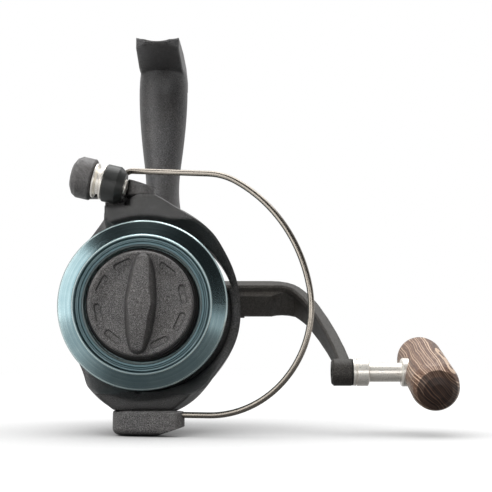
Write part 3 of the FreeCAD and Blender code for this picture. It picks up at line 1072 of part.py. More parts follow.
def make_drag_knob(press_y):
    save("drag_knob", drag_knob(press_y))
    face = SPOOL_FRONT - KNOB_PROUD + 1.1
    corners = [(4.0 * math.cos(math.radians(60 * index)), 4.0 * math.sin(math.radians(60 * index)))
               for index in range(6)]
    save("drag_nut", gear_y(face + 2.1, face + 4.9, corners).cut(
        along_y(face + 1, face + 6, SHAFT_RADIUS + FIT)))
    cone = [(face + 5.0, SHAFT_RADIUS + 0.3), (face + 5.9, 3.9), (face + 6.4, 3.9), (face + 5.5, SHAFT_RADIUS + 0.3)]
    save("drag_spring_washer", turned(cone))
    rear = SPOOL_FRONT + KNOB_BORE_DEPTH - 0.9
    save("drag_knob_seal", turned([(rear - 2.2, KNOB_RADIUS), (rear - 2.2, KNOB_RADIUS + 0.5),
                                   (rear - 1.6, KNOB_RADIUS + 0.9), (rear - 1.0, KNOB_RADIUS + 0.5),
                                   (rear - 1.0, KNOB_RADIUS)]))


# ---- bail ---------------------------------------------------------------------------------------
def on_roller(start, profile):
    return turned(profile, ROLLER_POINT + ROLLER_AXIS * start, ROLLER_AXIS)


def on_wire_plane(u, w):
    tilt = math.radians(BAIL_TILT)
    return V(u * math.cos(tilt), WIRE_PLANE_Y - u * math.sin(tilt), w)


def wire_start():
    """The wire's first point and its direction there."""
    height = ROLLER_POINT.z + WIRE_RISE
    rise = math.tan(math.radians(WIRE_HEADING))
    start = on_wire_plane(WIRE_START, height)
    return start, on_wire_plane(WIRE_START + 1, height + rise) - start


def bail_wire():
    """One bent wire: tangent arcs with straights between, the last arc sized to reach the lower lever."""
    u, w, heading = WIRE_START, ROLLER_POINT.z + WIRE_RISE, math.radians(WIRE_HEADING)
    edges = []
    for straight, radius, turn in WIRE_RUNS + [(0.0, 0.0, 0.0)]:
        if straight > 0:
            begin = on_wire_plane(u, w)
            u += straight * math.cos(heading)
            w += straight * math.sin(heading)
            edges.append(Part.makeLine(begin, on_wire_plane(u, w)))
        sweep = math.radians(turn)
        if radius == 0:
            radius = (w - LOWER_SEAT + WIRE_DROP) / (math.cos(heading) + 1)
            sweep = math.pi + heading
        centre_u = u + radius * math.sin(heading)
        centre_w = w - radius * math.cos(heading)
        stops = []
        for share in (0.0, 0.5, 1.0):
            angle = heading - sweep * share
            stops.append(on_wire_plane(centre_u - radius * math.sin(angle), centre_w + radius * math.cos(angle)))
        edges.append(Part.Arc(*stops).toShape())
        heading -= sweep
        u = centre_u - radius * math.sin(heading)
        w = centre_w + radius * math.cos(heading)
    edges.append(Part.makeLine(on_wire_plane(u, w), on_wire_plane(WIRE_END, w)))
    start, along = wire_start()
    section = Part.Wire([Part.makeCircle(WIRE_RADIUS, start, along)])
    return Part.Wire(edges).makePipeShell([section], True, False)


def roller_lever():
    seat = UPPER_SEAT + SIDE_GAP
    top = UPPER_SEAT + UPPER_HUB_HEIGHT
    hub = along_z(seat, top + 1, HUB_RADIUS)
    back = ROLLER_POINT.y + CAP_RADIUS + 0.5
    start = ROOT_LENGTH / 2 + 2 * SIDE_GAP + ROLLER_LENGTH
    outer = ROLLER_POINT + ROLLER_AXIS * (start + CAP_LENGTH * 0.75)
    points = [V(PIVOT_X + 2.5, back, seat), V(PIVOT_X - 1, back + BRIDGE_THICKNESS, seat),
              V(outer.x + 2, back + BRIDGE_THICKNESS, seat), V(outer.x, back + BRIDGE_THICKNESS - 1.5, seat),
              V(outer.x, back, seat)]
    bridge = Part.Face(Part.makePolygon(points + [points[0]])).extrude(V(0, 0, 12))
    skirt = box(UPPER_ARM_LEFT - 0.8, PIVOT_X - HUB_RADIUS - 1.2, back, back + BRIDGE_THICKNESS - 1, SWEEP_FLOOR + 0.4, seat + 1)
    cap = on_roller(start, [(0, 0), (0, CAP_RADIUS - 0.4), (0.4, CAP_RADIUS), (CAP_LENGTH - 2.2, CAP_RADIUS),
                            (CAP_LENGTH - 0.9, CAP_RADIUS - 0.8), (CAP_LENGTH, CAP_RADIUS - 2.4), (CAP_LENGTH, 0)])
    ear = box(outer.x, outer.x + 4.4, ROLLER_POINT.y + 2.0, back + 0.5, seat + 0.4, seat + 9.2)
    ear = ear.common(on_roller(start, [(0, 0), (0, CAP_RADIUS + 1.2), (CAP_LENGTH, CAP_RADIUS + 1.2), (CAP_LENGTH, 0)]))
    slope = math.tan(math.radians(UPPER_HUB_SLOPE))
    above = [V(PIVOT_X - HUB_RADIUS, -90, top), V(PIVOT_X + 9, -90, top - (HUB_RADIUS + 9) * slope),
             V(PIVOT_X + 9, -90, top + 30), V(PIVOT_X - 40, -90, top + 30),
             V(PIVOT_X - 40, -90, top + (40 - HUB_RADIUS) * slope)]
    above = Part.Face(Part.makePolygon(above + [above[0]])).extrude(V(0, 60, 0))
    lever = hub.fuse(bridge).cut(above).fuse([skirt, cap, ear, boss_skirt(seat)])
    near = -ROOT_LENGTH / 2 - ROOT_GAP
    lever = lever.cut(on_roller(near - ROLLER_HEAD, [(0, 0), (0, ROLLER_HEAD_RADIUS + ROOT_GAP),
                                                     (ROLLER_HEAD, ROLLER_HEAD_RADIUS + ROOT_GAP),
                                                     (ROLLER_HEAD, ROOT_END_RADIUS + ROOT_GAP),
                                                     (ROLLER_HEAD + 2.0, ROOT_RADIUS + ROOT_GAP),
                                                     (start - near - 2 * SIDE_GAP, ROOT_RADIUS + ROOT_GAP),
                                                     (start - near - 2 * SIDE_GAP, 0)]))
    lever = lever.cut(on_roller(start - 0.1, [(0, 0), (0, ROLLER_SCREW_RADIUS), (4.2, ROLLER_SCREW_RADIUS), (4.2, 0)]))
    lever = lever.cut(along_z(seat - 1, top + 1, PIVOT_SHOULDER + FIT))
    return lever.cut(along_z(UPPER_SEAT + UPPER_GRIP - 0.1, top + 10, PIVOT_HEAD + 0.15))


def boss_skirt(seat):
    """The part of the lever that hangs down beside the arm's boss, towards the line roller."""
    inner = HUB_RADIUS + 0.6
    wall = along_z(SWEEP_FLOOR + 0.4, seat + 0.5, inner + SKIRT_THICKNESS).cut(along_z(SWEEP_FLOOR, seat + 1, inner))
    return wall.common(sector(SWEEP_RADIUS, 130.0, 200.0, SWEEP_FLOOR, seat + 1))


def round_hull(x0, y0, r0, x1, y1, r1, z0, z1):
    """Two upright cylinders and all that lies between them."""
    length = math.hypot(x1 - x0, y1 - y0)
    along = math.atan2(y1 - y0, x1 - x0)
    lean = math.acos((r0 - r1) / length)
    points = []
    for x, y, radius, side in ((x0, y0, r0, 1), (x1, y1, r1, 1), (x1, y1, r1, -1), (x0, y0, r0, -1)):
        angle = along + side * lean
        points.append(V(x + radius * math.cos(angle), y + radius * math.sin(angle), z0))
    far = V(x1 + r1 * math.cos(along), y1 + r1 * math.sin(along), z0)
    near = V(x0 - r0 * math.cos(along), y0 - r0 * math.sin(along), z0)
    edges = [Part.makeLine(points[0], points[1]), Part.Arc(points[1], far, points[2]).toShape(),
             Part.makeLine(points[2], points[3]), Part.Arc(points[3], near, points[0]).toShape()]
    return Part.Face(Part.Wire(edges)).extrude(V(0, 0, z1 - z0))


def wire_lever():
    seat = LOWER_SEAT - SIDE_GAP
    low = LOWER_SEAT - LOWER_HUB_HEIGHT
    tip = on_wire_plane(LEVER_TIP, 0)
    lever = round_hull(PIVOT_X, PIVOT_Y, LOWER_HUB_RADIUS, tip.x, tip.y, LEVER_TIP_RADIUS, low, seat)
    flat = [edge for edge in lever.Edges if edge.BoundBox.ZLength < 0.01]
    lever = lever.makeFillet(LEVER_ROUNDING, [edge for edge in flat if edge.BoundBox.ZMin > seat - 0.1])
    flat = [edge for edge in lever.Edges if edge.BoundBox.ZMax < low + 0.1]
    lever = lever.makeFillet(LEVER_UNDERSIDE, flat)
    ramp = [V(PIVOT_X + 6.0, -90, low - 1), V(PIVOT_X + 6.0, -90, low), V(tip.x + 4, -90, low + 3.4),
            V(tip.x + 4, -90, low - 1)]
    ramp = Part.Face(Part.makePolygon(ramp + [ramp[0]])).extrude(V(0, 60, 0))
    lever = lever.cut(ramp)
    lever = lever.cut(along_z(low - 1, seat + 1, PIVOT_SHOULDER + FIT))
    lever = lever.cut(along_z(low - 1, LOWER_SEAT - LOWER_GRIP + 0.1, PIVOT_HEAD + 0.15))
    lever = lever.cut(along_z(seat - SPRING_POCKET, seat + 1, SPRING_RADIUS + 1.1))
    wire = Part.makeCylinder(WIRE_RADIUS, 30, on_wire_plane(WIRE_END, LOWER_SEAT - WIRE_DROP),
                             on_wire_plane(1, 0) - on_wire_plane(0, 0))
    return lever.cut(wire)


def bail_spring():
    """A torsion spring of eight-sided wire round the lower pivot, in the lever's pocket."""
    rings = []
    for index in range(SPRING_STEPS * SPRING_TURNS + SPRING_STEPS // 2 + 1):
        angle = 2 * math.pi * index / SPRING_STEPS
        outward = V(math.cos(angle), math.sin(angle), 0)
        along = V(-math.sin(angle) * SPRING_RADIUS, math.cos(angle) * SPRING_RADIUS, SPRING_PITCH / (2 * math.pi))
        across = along.normalize().cross(outward)
        middle = outward * SPRING_RADIUS + V(0, 0, SPRING_PITCH * index / SPRING_STEPS)
        corners = []
        for corner in range(8):
            turn = 2 * math.pi * corner / 8
            corners.append(middle + (outward * math.cos(turn) + across * math.sin(turn)) * SPRING_WIRE)
        rings.append(Part.makePolygon(corners + [corners[0]]))
    coil = Part.makeLoft(rings, True, True)
    coil.translate(V(PIVOT_X, PIVOT_Y, LOWER_SEAT - SIDE_GAP - SPRING_POCKET + 0.5))
    return coil


def make_bail():
    save("bail_wire", bail_wire())
    save("roller_lever", roller_lever())
    save("wire_lever", wire_lever())
    save("bail_spring", bail_spring())
    half = ROOT_LENGTH / 2
    root = on_roller(-half, [(0, ROLLER_SCREW_RADIUS), (0, ROOT_END_RADIUS - 0.5), (0.5, ROOT_END_RADIUS),
                             (2.0, ROOT_RADIUS), (ROOT_LENGTH - 0.3, ROOT_RADIUS),
                             (ROOT_LENGTH, ROOT_RADIUS - 0.3), (ROOT_LENGTH, ROLLER_SCREW_RADIUS)])
    start, along = wire_start()
    root = root.cut(Part.makeCylinder(WIRE_RADIUS, 30, start, along))
    save("wire_root", root)
    start = half + SIDE_GAP
    flange = 0.55
    save("line_roller", on_roller(start, [(0, ROLLER_BUSH_RADIUS + FIT), (0, ROLLER_RADIUS), (flange, ROLLER_RADIUS),
                                          (1.1, ROLLER_RADIUS - 1.3), (ROLLER_LENGTH - 1.1, ROLLER_RADIUS - 1.3),
                                          (ROLLER_LENGTH - flange, ROLLER_RADIUS), (ROLLER_LENGTH, ROLLER_RADIUS),
                                          (ROLLER_LENGTH, ROLLER_BUSH_RADIUS + FIT)]))
    save("roller_bush", on_roller(half, [(0, ROLLER_SCREW_RADIUS), (0, ROLLER_BUSH_RADIUS),
                                         (ROLLER_LENGTH + 2 * SIDE_GAP, ROLLER_BUSH_RADIUS),
                                         (ROLLER_LENGTH + 2 * SIDE_GAP, ROLLER_SCREW_RADIUS)]))
    grip = ROOT_LENGTH + 2 * SIDE_GAP + ROLLER_LENGTH + 4.0
    save("roller_screw", on_roller(-half, [(-ROLLER_HEAD, 0), (-ROLLER_HEAD, ROLLER_HEAD_RADIUS - 0.4),
                                           (-0.2, ROLLER_HEAD_RADIUS), (0, ROLLER_HEAD_RADIUS), (0, ROLLER_SCREW_RADIUS),
                                           (grip, ROLLER_SCREW_RADIUS), (grip, 0)]))


make_body()
make_drive()
make_knob()
make_rotor()
make_drag_knob(make_shaft_and_spool())
make_bail()
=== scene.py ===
"""Looks of the spinning reel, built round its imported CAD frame.

Lengths are in metres. The materials and the drag knob, with the values above them, work in
millimetres.
"""

import bpy
import json
import math
from mathutils import Euler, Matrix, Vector

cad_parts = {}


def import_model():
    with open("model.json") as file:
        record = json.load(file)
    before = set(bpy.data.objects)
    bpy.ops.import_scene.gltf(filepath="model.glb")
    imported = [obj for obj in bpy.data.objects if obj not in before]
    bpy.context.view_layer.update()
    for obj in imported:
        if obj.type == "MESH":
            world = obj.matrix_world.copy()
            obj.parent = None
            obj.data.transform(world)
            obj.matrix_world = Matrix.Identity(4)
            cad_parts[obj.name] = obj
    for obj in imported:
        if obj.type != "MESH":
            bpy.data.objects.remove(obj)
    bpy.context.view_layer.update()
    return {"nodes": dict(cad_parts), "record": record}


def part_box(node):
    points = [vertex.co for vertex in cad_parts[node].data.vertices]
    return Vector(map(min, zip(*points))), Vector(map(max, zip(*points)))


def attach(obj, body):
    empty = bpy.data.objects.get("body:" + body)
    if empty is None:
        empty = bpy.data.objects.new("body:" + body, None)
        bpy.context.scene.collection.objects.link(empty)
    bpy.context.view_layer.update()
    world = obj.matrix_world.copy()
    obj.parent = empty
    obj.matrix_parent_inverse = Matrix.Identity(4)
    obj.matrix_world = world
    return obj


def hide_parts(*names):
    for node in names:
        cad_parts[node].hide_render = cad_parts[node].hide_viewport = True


MM = 0.001

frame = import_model()
nodes = frame["nodes"]

spool_low, spool_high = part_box("spool")
SPOOL_AXIS_X = (spool_low.x + spool_high.x) / 2
SPOOL_AXIS_Z = (spool_low.z + spool_high.z) / 2
t_bar_low, t_bar_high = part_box("t_bar_knob")
T_BAR_CENTRE = (t_bar_low + t_bar_high) / 2
T_BAR_SLOPE = 16.9                       # degrees from level, along the bar

CAMERA_PLACE = Vector((30.35, -369.9, -111.0)) * MM
CAMERA_PITCH = 6.85                      # degrees upwards
CAMERA_LENS = 75.5                       # millimetres, as the sensor's width is
SENSOR_WIDTH = 36
CLIP_START = 0.01

FLOOR_GAP = 0.2 * MM                     # under the lower bail lever, on which the reel rests
FLOOR_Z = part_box("wire_lever")[0].z - FLOOR_GAP
FLOOR_SIZE = 6.0
FLOOR_GREY = 0.11                        # for light that falls on it
FLOOR_GLOW = 0.90                        # the glow as the camera sees it near the reel, lower than far off: a painted shade round the reel
GLOW_REACH = (0.12, 0.5)                 # distances between which the glow rises to pure white
FLOOR_MIRRORED = 0.7                     # as the reel's bright metal mirrors it
DARK_CARD = (0.045, -0.125, 0.0)         # round this place the mirrored floor is dark
DARK_CARD_RADIUS = 0.075
CARD_EDGE = 1.4                          # the card fades out to this many radii
CONTACT_REACH = 0.09                     # reach of the painted contact shadow on the floor under the reel
CONTACT_POWER = 1.2                      # more makes the painted contact shadow darker

# from, to, strength at each end
SKY_BY_Y = (-0.3, 0.6, 0.025, 0.7)       # world strength from the camera's side to the back
SKY_BY_Z = (0.78, 1.0, 0.0, 0.5)         # and what is added towards the top

LIGHTS_AIM = Vector((0.02, -0.03, SPOOL_AXIS_Z))
# place (its height counts from the spool's axis), aim, width, height, watts, seen in mirror images
SOFTBOXES = {
    "left_card": ((-0.50, -0.42, -0.02), LIGHTS_AIM, 0.55, 0.95, 3.0, True),
    "high_front": ((-0.10, -0.40, 0.50), LIGHTS_AIM, 0.5, 0.3, 3.6, False),
    "top": ((0.02, 0.08, 0.55), LIGHTS_AIM, 0.7, 0.5, 2.6, True),
    "right_side": ((0.58, 0.26, 0.14), LIGHTS_AIM, 0.4, 0.5, 1.0, False),
    "behind_camera": ((0.14, -0.62, -0.10), T_BAR_CENTRE, 0.5, 0.42, 1.7, True),
}


def scaled(colour, share):
    return tuple(share * c for c in colour)


# ---- node graphs --------------------------------------------------------------------------------
class Graph:
    """A material's node tree with short calls for adding and linking nodes."""

    def __init__(self, name):
        self.material = bpy.data.materials.new(name)
        self.material.use_nodes = True
        self.tree = self.material.node_tree
        self.shader = self.tree.nodes["Principled BSDF"]

    def add(self, kind, inputs=None, **settings):
        node = self.tree.nodes.new("ShaderNode" + kind)
        for key, value in settings.items():
            setattr(node, key, value)
        for key, value in (inputs or {}).items():
            self.feed(node.inputs[key], value)
        return node

    def feed(self, socket, value):
        """Link value to the socket if it is a node or another socket, else set it there."""
        if isinstance(value, bpy.types.Node):
            value = value.outputs[0]
        if isinstance(value, bpy.types.NodeSocket):
            self.tree.links.new(value, socket)
        else:
            socket.default_value = value

    def surface(self, **inputs):
        for key, value in inputs.items():
            self.feed(self.shader.inputs[key.replace("_", " ")], value)

    def millimetres(self):
        """Object coordinates in millimetres."""
        coordinates = self.add("TexCoord")
        return self.stretched(coordinates.outputs["Object"], (1 / MM, 1 / MM, 1 / MM))

    def math(self, operation, a, b=0.0, clamp=False):
        return self.add("Math", {0: a, 1: b}, operation=operation, use_clamp=clamp)

    def noise(self, vector, scale, detail=2.0, roughness=0.5):
        inputs = {"Vector": vector, "Scale": scale, "Detail": detail, "Roughness": roughness}
        return self.add("TexNoise", inputs)

    def rings(self, radius, scale, detail, roughness=0.5):
        """Noise that changes with one distance only."""
        inputs = {"W": radius, "Scale": scale, "Detail": detail, "Roughness": roughness}
        return self.add("TexNoise", inputs, noise_dimensions="1D")

    def stretched(self, vector, scale):
        return self.add("Mapping", {"Vector": vector, "Scale": scale})

    def ramp(self, value, stops):
        """A colour ramp, where each stop is (position, grey or colour)."""
        node = self.add("ValToRGB", {"Fac": value})
        elements = node.color_ramp.elements
        while len(elements) < len(stops):
            elements.new(0.5)
        for element, (position, colour) in zip(elements, stops):
            element.position = position
            element.color = (*colour, 1) if isinstance(colour, tuple) else (colour, colour, colour, 1)
        return node

    def mix(self, factor, a, b):
        """Colour a where factor is 0, colour b where it is 1."""
        node = self.add("Mix", data_type="RGBA")
        sockets = {socket.identifier: socket for socket in node.inputs}
        self.feed(sockets["Factor_Float"], factor)
        for key, colour in (("A_Color", a), ("B_Color", b)):
            self.feed(sockets[key], (*colour, 1) if isinstance(colour, tuple) else colour)
        return next(socket for socket in node.outputs if socket.identifier == "Result_Color")

    def bump(self, height, strength, distance_mm, normal=None):
        inputs = {"Height": height, "Strength": strength, "Distance": distance_mm * MM}
        if normal is not None:
            inputs["Normal"] = normal
        return self.add("Bump", inputs)

    def soft_edges(self, radius_mm):
        """A normal that rounds the CAD solid's sharp edges in the shading."""
        return self.add("Bevel", {"Radius": radius_mm * MM}, samples=6)

    def off_axis(self, vector, x, z):
        """Distance of vector's points from an axis along Y through (x, z)."""
        parts = self.add("SeparateXYZ", {"Vector": vector})
        across = self.math("SUBTRACT", parts.outputs["X"], x)
        up = self.math("SUBTRACT", parts.outputs["Z"], z)
        squares = self.math("ADD", self.math("MULTIPLY", across, across), self.math("MULTIPLY", up, up))
        return self.math("SQRT", squares)


# ---- materials ----------------------------------------------------------------------------------
def moulded_composite(name, dark, light, share, flecks, edge, rough, grain, reach=1.5, shade_from=0.8,
                      creased=False):
    """Glass-filled nylon from a spark-eroded mould: a pebbled skin with pale flecks.

    The flecks take up the given share of the skin, from 0 to 1, and get finer as flecks rises.
    Edges are rounded to a radius of edge. Hollows get a painted shade in their colour where their
    openness within reach falls below shade_from. A mesh may carry a painted shade for its creases
    as an attribute, which then darkens its colour.
    """
    g = Graph(name)
    place = g.millimetres()
    speck = g.noise(place, flecks, 3.0, 0.7)
    threshold = 0.66 - 0.22 * share
    fleck = g.ramp(speck, [(threshold - 0.10, 0.0), (threshold + 0.10, 1.0)])
    patch = g.ramp(g.noise(place, 0.55, 3.0, 0.6), [(0.32, 0.7), (0.7, 1.0)])
    cloud = g.ramp(g.noise(place, 0.11, 3.0), [(0.35, 0.0), (0.7, 1.0)])
    warm = tuple(c * k for c, k in zip(dark, (1.7, 1.5, 1.3)))
    ground = g.mix(g.math("MULTIPLY", cloud, 0.7), dark, warm)
    skin_tone = g.mix(g.math("MULTIPLY", fleck, patch), ground, light)
    # painted shade: ambient occlusion darkens the colour in hollows and where parts meet
    openness = g.add("AmbientOcclusion", {"Distance": reach * MM}, samples=8)
    hollow = g.ramp(openness.outputs["AO"], [(0.35, 1.0), (shade_from, 0.0)])
    colour = g.mix(hollow, skin_tone, scaled(dark, 0.5))
    # painted shade carried by the mesh as an attribute darkens the colour in its creases
    if creased:
        painted_crease_shade = g.add("Attribute", attribute_name="painted_crease_shade")
        colour = g.mix(painted_crease_shade.outputs["Fac"], colour, scaled(dark, 0.25))
    pits = g.noise(place, flecks * 0.8, 3.0, 0.65)
    skin = g.bump(pits, grain, 0.16, g.soft_edges(edge))
    gloss = g.ramp(speck, [(0.35, rough - 0.08), (0.65, rough + 0.14)])
    g.surface(Base_Color=colour, Roughness=gloss, Normal=skin)
    return g.material


def satin_coat(name, dark, light, rough=0.38, dust_share=0.25):
    """Sprayed satin coat over a casting, with a faint orange peel and dust."""
    g = Graph(name)
    place = g.millimetres()
    cloud = g.ramp(g.noise(place, 0.14, 4.0, 0.6), [(0.3, dark), (0.75, light)])
    dust = g.ramp(g.noise(place, 4.0, 2.0, 0.6), [(0.60, 0.0), (0.72, 1.0)])
    colour = g.mix(g.math("MULTIPLY", dust, dust_share), cloud, scaled(light, 4))
    orange_peel = g.bump(g.noise(place, 2.2, 3.0, 0.6), 0.2, 0.1, g.soft_edges(0.35))
    gloss = g.ramp(g.noise(place, 0.7, 3.0), [(0.3, rough - 0.05), (0.7, rough + 0.08)])
    g.surface(Base_Color=colour, Roughness=gloss, Normal=orange_peel)
    return g.material


STEPS_FADE = (20.25, 20.55)              # radii over which the inner steps give way to the lip
RAMP_RADIUS = 30.0                       # where the ramp over the radius ends, outside the spool
CUT_EDGES_AND_HIGHLIGHTS = [(24.7, 0.35, 0.9), (20.3, 0.35, 1.0), (17.2, 0.45, 0.9)]   # pale cut edges with a painted highlight: radius, half width, strength


def anodised_spool(name, colour, pale):
    """Dyed, clear-sealed aluminium turned about the spool's axis, its turned edges pale under a painted
    highlight.

    The steps inside the lip are smoother and duller, and darkened by a painted shade.
    """
    g = Graph(name)
    radius = g.off_axis(g.millimetres(), SPOOL_AXIS_X / MM, SPOOL_AXIS_Z / MM)
    marks = g.rings(radius, 7.0, 5.0, 0.75)
    bands = g.rings(radius, 0.8, 2.0)
    shade = g.ramp(marks, [(0.3, scaled(colour, 0.80)), (0.7, scaled(colour, 1.1))])
    smear = g.noise(g.millimetres(), 0.12, 3.0, 0.6)
    toned = g.mix(g.math("MULTIPLY", g.math("MULTIPLY", bands, smear), 0.9), shade, pale)
    fade_start, fade_end = scaled(STEPS_FADE, 1 / RAMP_RADIUS)
    steps = g.ramp(g.math("DIVIDE", radius, RAMP_RADIUS), [(fade_start, 1.0), (fade_end, 0.0)])
    # painted shade: the steps inside the lip are darkened
    toned = g.mix(g.math("MULTIPLY", steps, 0.55), toned, scaled(colour, 0.3))
    bright = None
    # each edge is drawn pale and less metallic: partly the bare cut, partly a painted highlight
    for edge, half_width, strength in CUT_EDGES_AND_HIGHLIGHTS:
        away = g.math("ABSOLUTE", g.math("SUBTRACT", radius, edge))
        near = g.math("SUBTRACT", 1.0, g.math("DIVIDE", away, half_width), clamp=True)
        cut = g.math("MULTIPLY", near, strength)
        toned = g.mix(cut, toned, pale)
        bright = cut if bright is None else g.math("MAXIMUM", bright, cut)
    metal = g.math("SUBTRACT", 1.0, g.math("MULTIPLY", bright, 0.6))
    lip_marks = g.math("MULTIPLY", marks, g.math("SUBTRACT", 1.0, steps))
    groove = g.bump(lip_marks, 0.16, 0.02, g.soft_edges(0.15))
    gloss = g.math("MAXIMUM", g.ramp(marks, [(0.3, 0.24), (0.7, 0.17)]), g.math("MULTIPLY", steps, 0.42))
    sealed = g.math("SUBTRACT", 0.35, g.math("MULTIPLY", steps, 0.35))
    tangent = g.add("Tangent", direction_type="RADIAL", axis="Y")
    g.surface(Base_Color=toned, Metallic=metal, Roughness=gloss, Normal=groove, Anisotropic=0.3,
              Tangent=tangent, Coat_Weight=sealed, Coat_Roughness=0.12)
    return g.material


def machined_metal(name, colour, rough, fineness=1.0, stain_tone=0.75, metal=1.0, tooling=0.08):
    """Plain machined metal with tool marks and a little staining."""
    g = Graph(name)
    place = g.millimetres()
    marks = g.noise(place, 5.0 * fineness, 4.0, 0.7)
    stained = scaled(colour, stain_tone)
    stain = g.ramp(g.noise(place, 0.5 * fineness, 3.0), [(0.35, stained), (0.65, colour)])
    gloss = g.ramp(marks, [(0.3, rough - 0.06), (0.7, rough + 0.1)])
    skin = g.bump(marks, tooling, 0.03, g.soft_edges(0.1))
    g.surface(Base_Color=stain, Metallic=metal, Roughness=gloss, Normal=skin)
    return g.material


def matt_soft(name, dark, light, fineness, rough):
    """Rubber, felt or plain nylon: fine even grain and no metal."""
    g = Graph(name)
    grain = g.noise(g.millimetres(), fineness, 4.0, 0.65)
    colour = g.ramp(grain, [(0.3, dark), (0.7, light)])
    g.surface(Base_Color=colour, Roughness=rough, Normal=g.bump(grain, 0.3, 0.05))
    return g.material


PITH_FROM_BAR = (-13.0, -15.0)           # where the tree's middle lay, in x and z from the T-bar's axis


def open_grain_wood(name):
    """Dark timber turned from one stick, cut well off the tree's middle, with pale veins along it."""
    g = Graph(name)
    to_bar = (-math.radians(T_BAR_SLOPE), 0, 0)
    coordinates = g.add("TexCoord")
    centred = g.add("Mapping", {"Vector": coordinates.outputs["Object"], "Location": -T_BAR_CENTRE / MM,
                                "Scale": (1 / MM, 1 / MM, 1 / MM)})
    along = g.add("Mapping", {"Vector": centred, "Rotation": to_bar})
    wander = g.noise(g.stretched(along, (0.06, 0.03, 0.06)), 1.0, 2.0)
    push = g.add("VectorMath", {0: wander.outputs["Color"], 1: (5.0, 0, 6.0)}, operation="MULTIPLY")
    bent = g.add("VectorMath", {0: along, 1: push}, operation="ADD")
    waves = g.math("MULTIPLY", g.noise(g.stretched(bent, (0.12, 0.02, 0.12)), 1.0, 1.0), 3.0)
    depth = g.math("ADD", g.off_axis(bent, *PITH_FROM_BAR), waves)
    years = g.rings(depth, 2.2, 3.0, 0.55)
    fibres = g.noise(g.stretched(bent, (5.0, 0.15, 5.0)), 1.0, 3.0, 0.62)
    body = g.ramp(years, [(0.30, (0.075, 0.036, 0.024)), (0.47, (0.125, 0.066, 0.045)),
                          (0.57, (0.19, 0.110, 0.076)), (0.63, (0.62, 0.46, 0.34))])
    streak = g.ramp(fibres, [(0.52, 0.0), (0.68, 1.0)])
    long_grain = g.mix(g.math("MULTIPLY", streak, 0.6), body, (0.50, 0.36, 0.25))
    facing = g.add("Mapping", {"Vector": coordinates.outputs["Normal"], "Rotation": to_bar},
                   vector_type="NORMAL")
    end = g.math("ABSOLUTE", g.add("SeparateXYZ", {"Vector": facing}).outputs["Y"])
    end_share = g.ramp(end, [(0.55, 0.0), (0.9, 1.0)])
    end_grain = g.ramp(years, [(0.36, (0.007, 0.0032, 0.0022)), (0.52, (0.030, 0.0145, 0.0095)),
                               (0.68, (0.115, 0.065, 0.043))])
    relief = g.bump(fibres, 0.3, 0.08, g.bump(years, 0.2, 0.1, g.soft_edges(0.6)))
    gloss = g.ramp(years, [(0.3, 0.36), (0.7, 0.52)])
    g.surface(Base_Color=g.mix(end_share, long_grain, end_grain), Roughness=gloss, Normal=relief)
    return g.material


materials = {
    "black_composite": moulded_composite(
        "black_composite", (0.018, 0.017, 0.0175), (0.38, 0.37, 0.365), share=0.46, flecks=5.2, edge=0.5,
        rough=0.40, grain=0.8),
    "satin_grey_metal": satin_coat("satin_grey_metal", (0.026, 0.024, 0.022), (0.042, 0.038, 0.035)),
    "black_metal": satin_coat("black_metal", (0.018, 0.019, 0.018), (0.030, 0.031, 0.030), 0.33, 0.1),
    "teal_anodised": anodised_spool("teal_anodised", (0.175, 0.29, 0.325), (0.66, 0.80, 0.80)),
    "dark_wood": open_grain_wood("dark_wood"),
    "polished_steel": machined_metal("polished_steel", (0.97, 0.93, 0.86), 0.3, 0.6, 0.94, 0.62, 0.03),
    "wire_steel": machined_metal("wire_steel", (0.41, 0.37, 0.32), 0.27, 0.4, 0.85, 1.0, 0.02),
    "steel": machined_metal("steel", (0.56, 0.56, 0.56), 0.35),
    "cast_alloy": machined_metal("cast_alloy", (0.62, 0.62, 0.60), 0.45),
    "bronze": machined_metal("bronze", (0.62, 0.43, 0.20), 0.32),
    "white_plastic": matt_soft("white_plastic", (0.62, 0.61, 0.57), (0.72, 0.71, 0.67), 2.0, 0.5),
    "rubber": matt_soft("rubber", (0.008, 0.008, 0.008), (0.014, 0.014, 0.014), 3.0, 0.75),
    "felt": matt_soft("felt", (0.20, 0.18, 0.15), (0.36, 0.33, 0.28), 5.0, 0.95),
}
# the composite's skin differs from mould to mould: glossier with fainter flecks on the body and the
# rotor, darker and duller on the crank, and with the finest flecks on the drag knob
# the body's long reach paints shade over the lower stem, where it meets the body and the rotor
body_skin = moulded_composite(
    "body_composite", (0.026, 0.0255, 0.0265), (0.22, 0.218, 0.22), share=0.45, flecks=4.6, edge=1.0,
    rough=0.34, grain=0.45, reach=30.0, shade_from=0.97)
knob_skin = moulded_composite(
    "knob_composite", (0.017, 0.016, 0.0165), (0.40, 0.39, 0.385), share=0.44, flecks=6.0, edge=0.25,
    rough=0.40, grain=0.9, creased=True)
finishes = {
    "body_housing": body_skin,
    "side_cover": body_skin,
    "left_side_cap": body_skin,
    # on the rotor the painted shade reaches 5 mm into its hollows
    "rotor": moulded_composite(
        "rotor_composite", (0.0145, 0.0142, 0.0142), (0.22, 0.218, 0.218), share=0.47, flecks=5.2,
        edge=1.8, rough=0.36, grain=0.6, reach=5.0),
    "handle_arm": moulded_composite(
        "handle_composite", (0.013, 0.0115, 0.010), (0.13, 0.122, 0.112), share=0.4, flecks=4.4,
        edge=0.5, rough=0.55, grain=0.35),
}


def paint(node, material):
    node.data.materials.clear()
    node.data.materials.append(material)


for part in frame["record"]["subparts"]:
    paint(nodes[part["node"]], finishes.get(part["node"], materials[part["material_slot"]]))


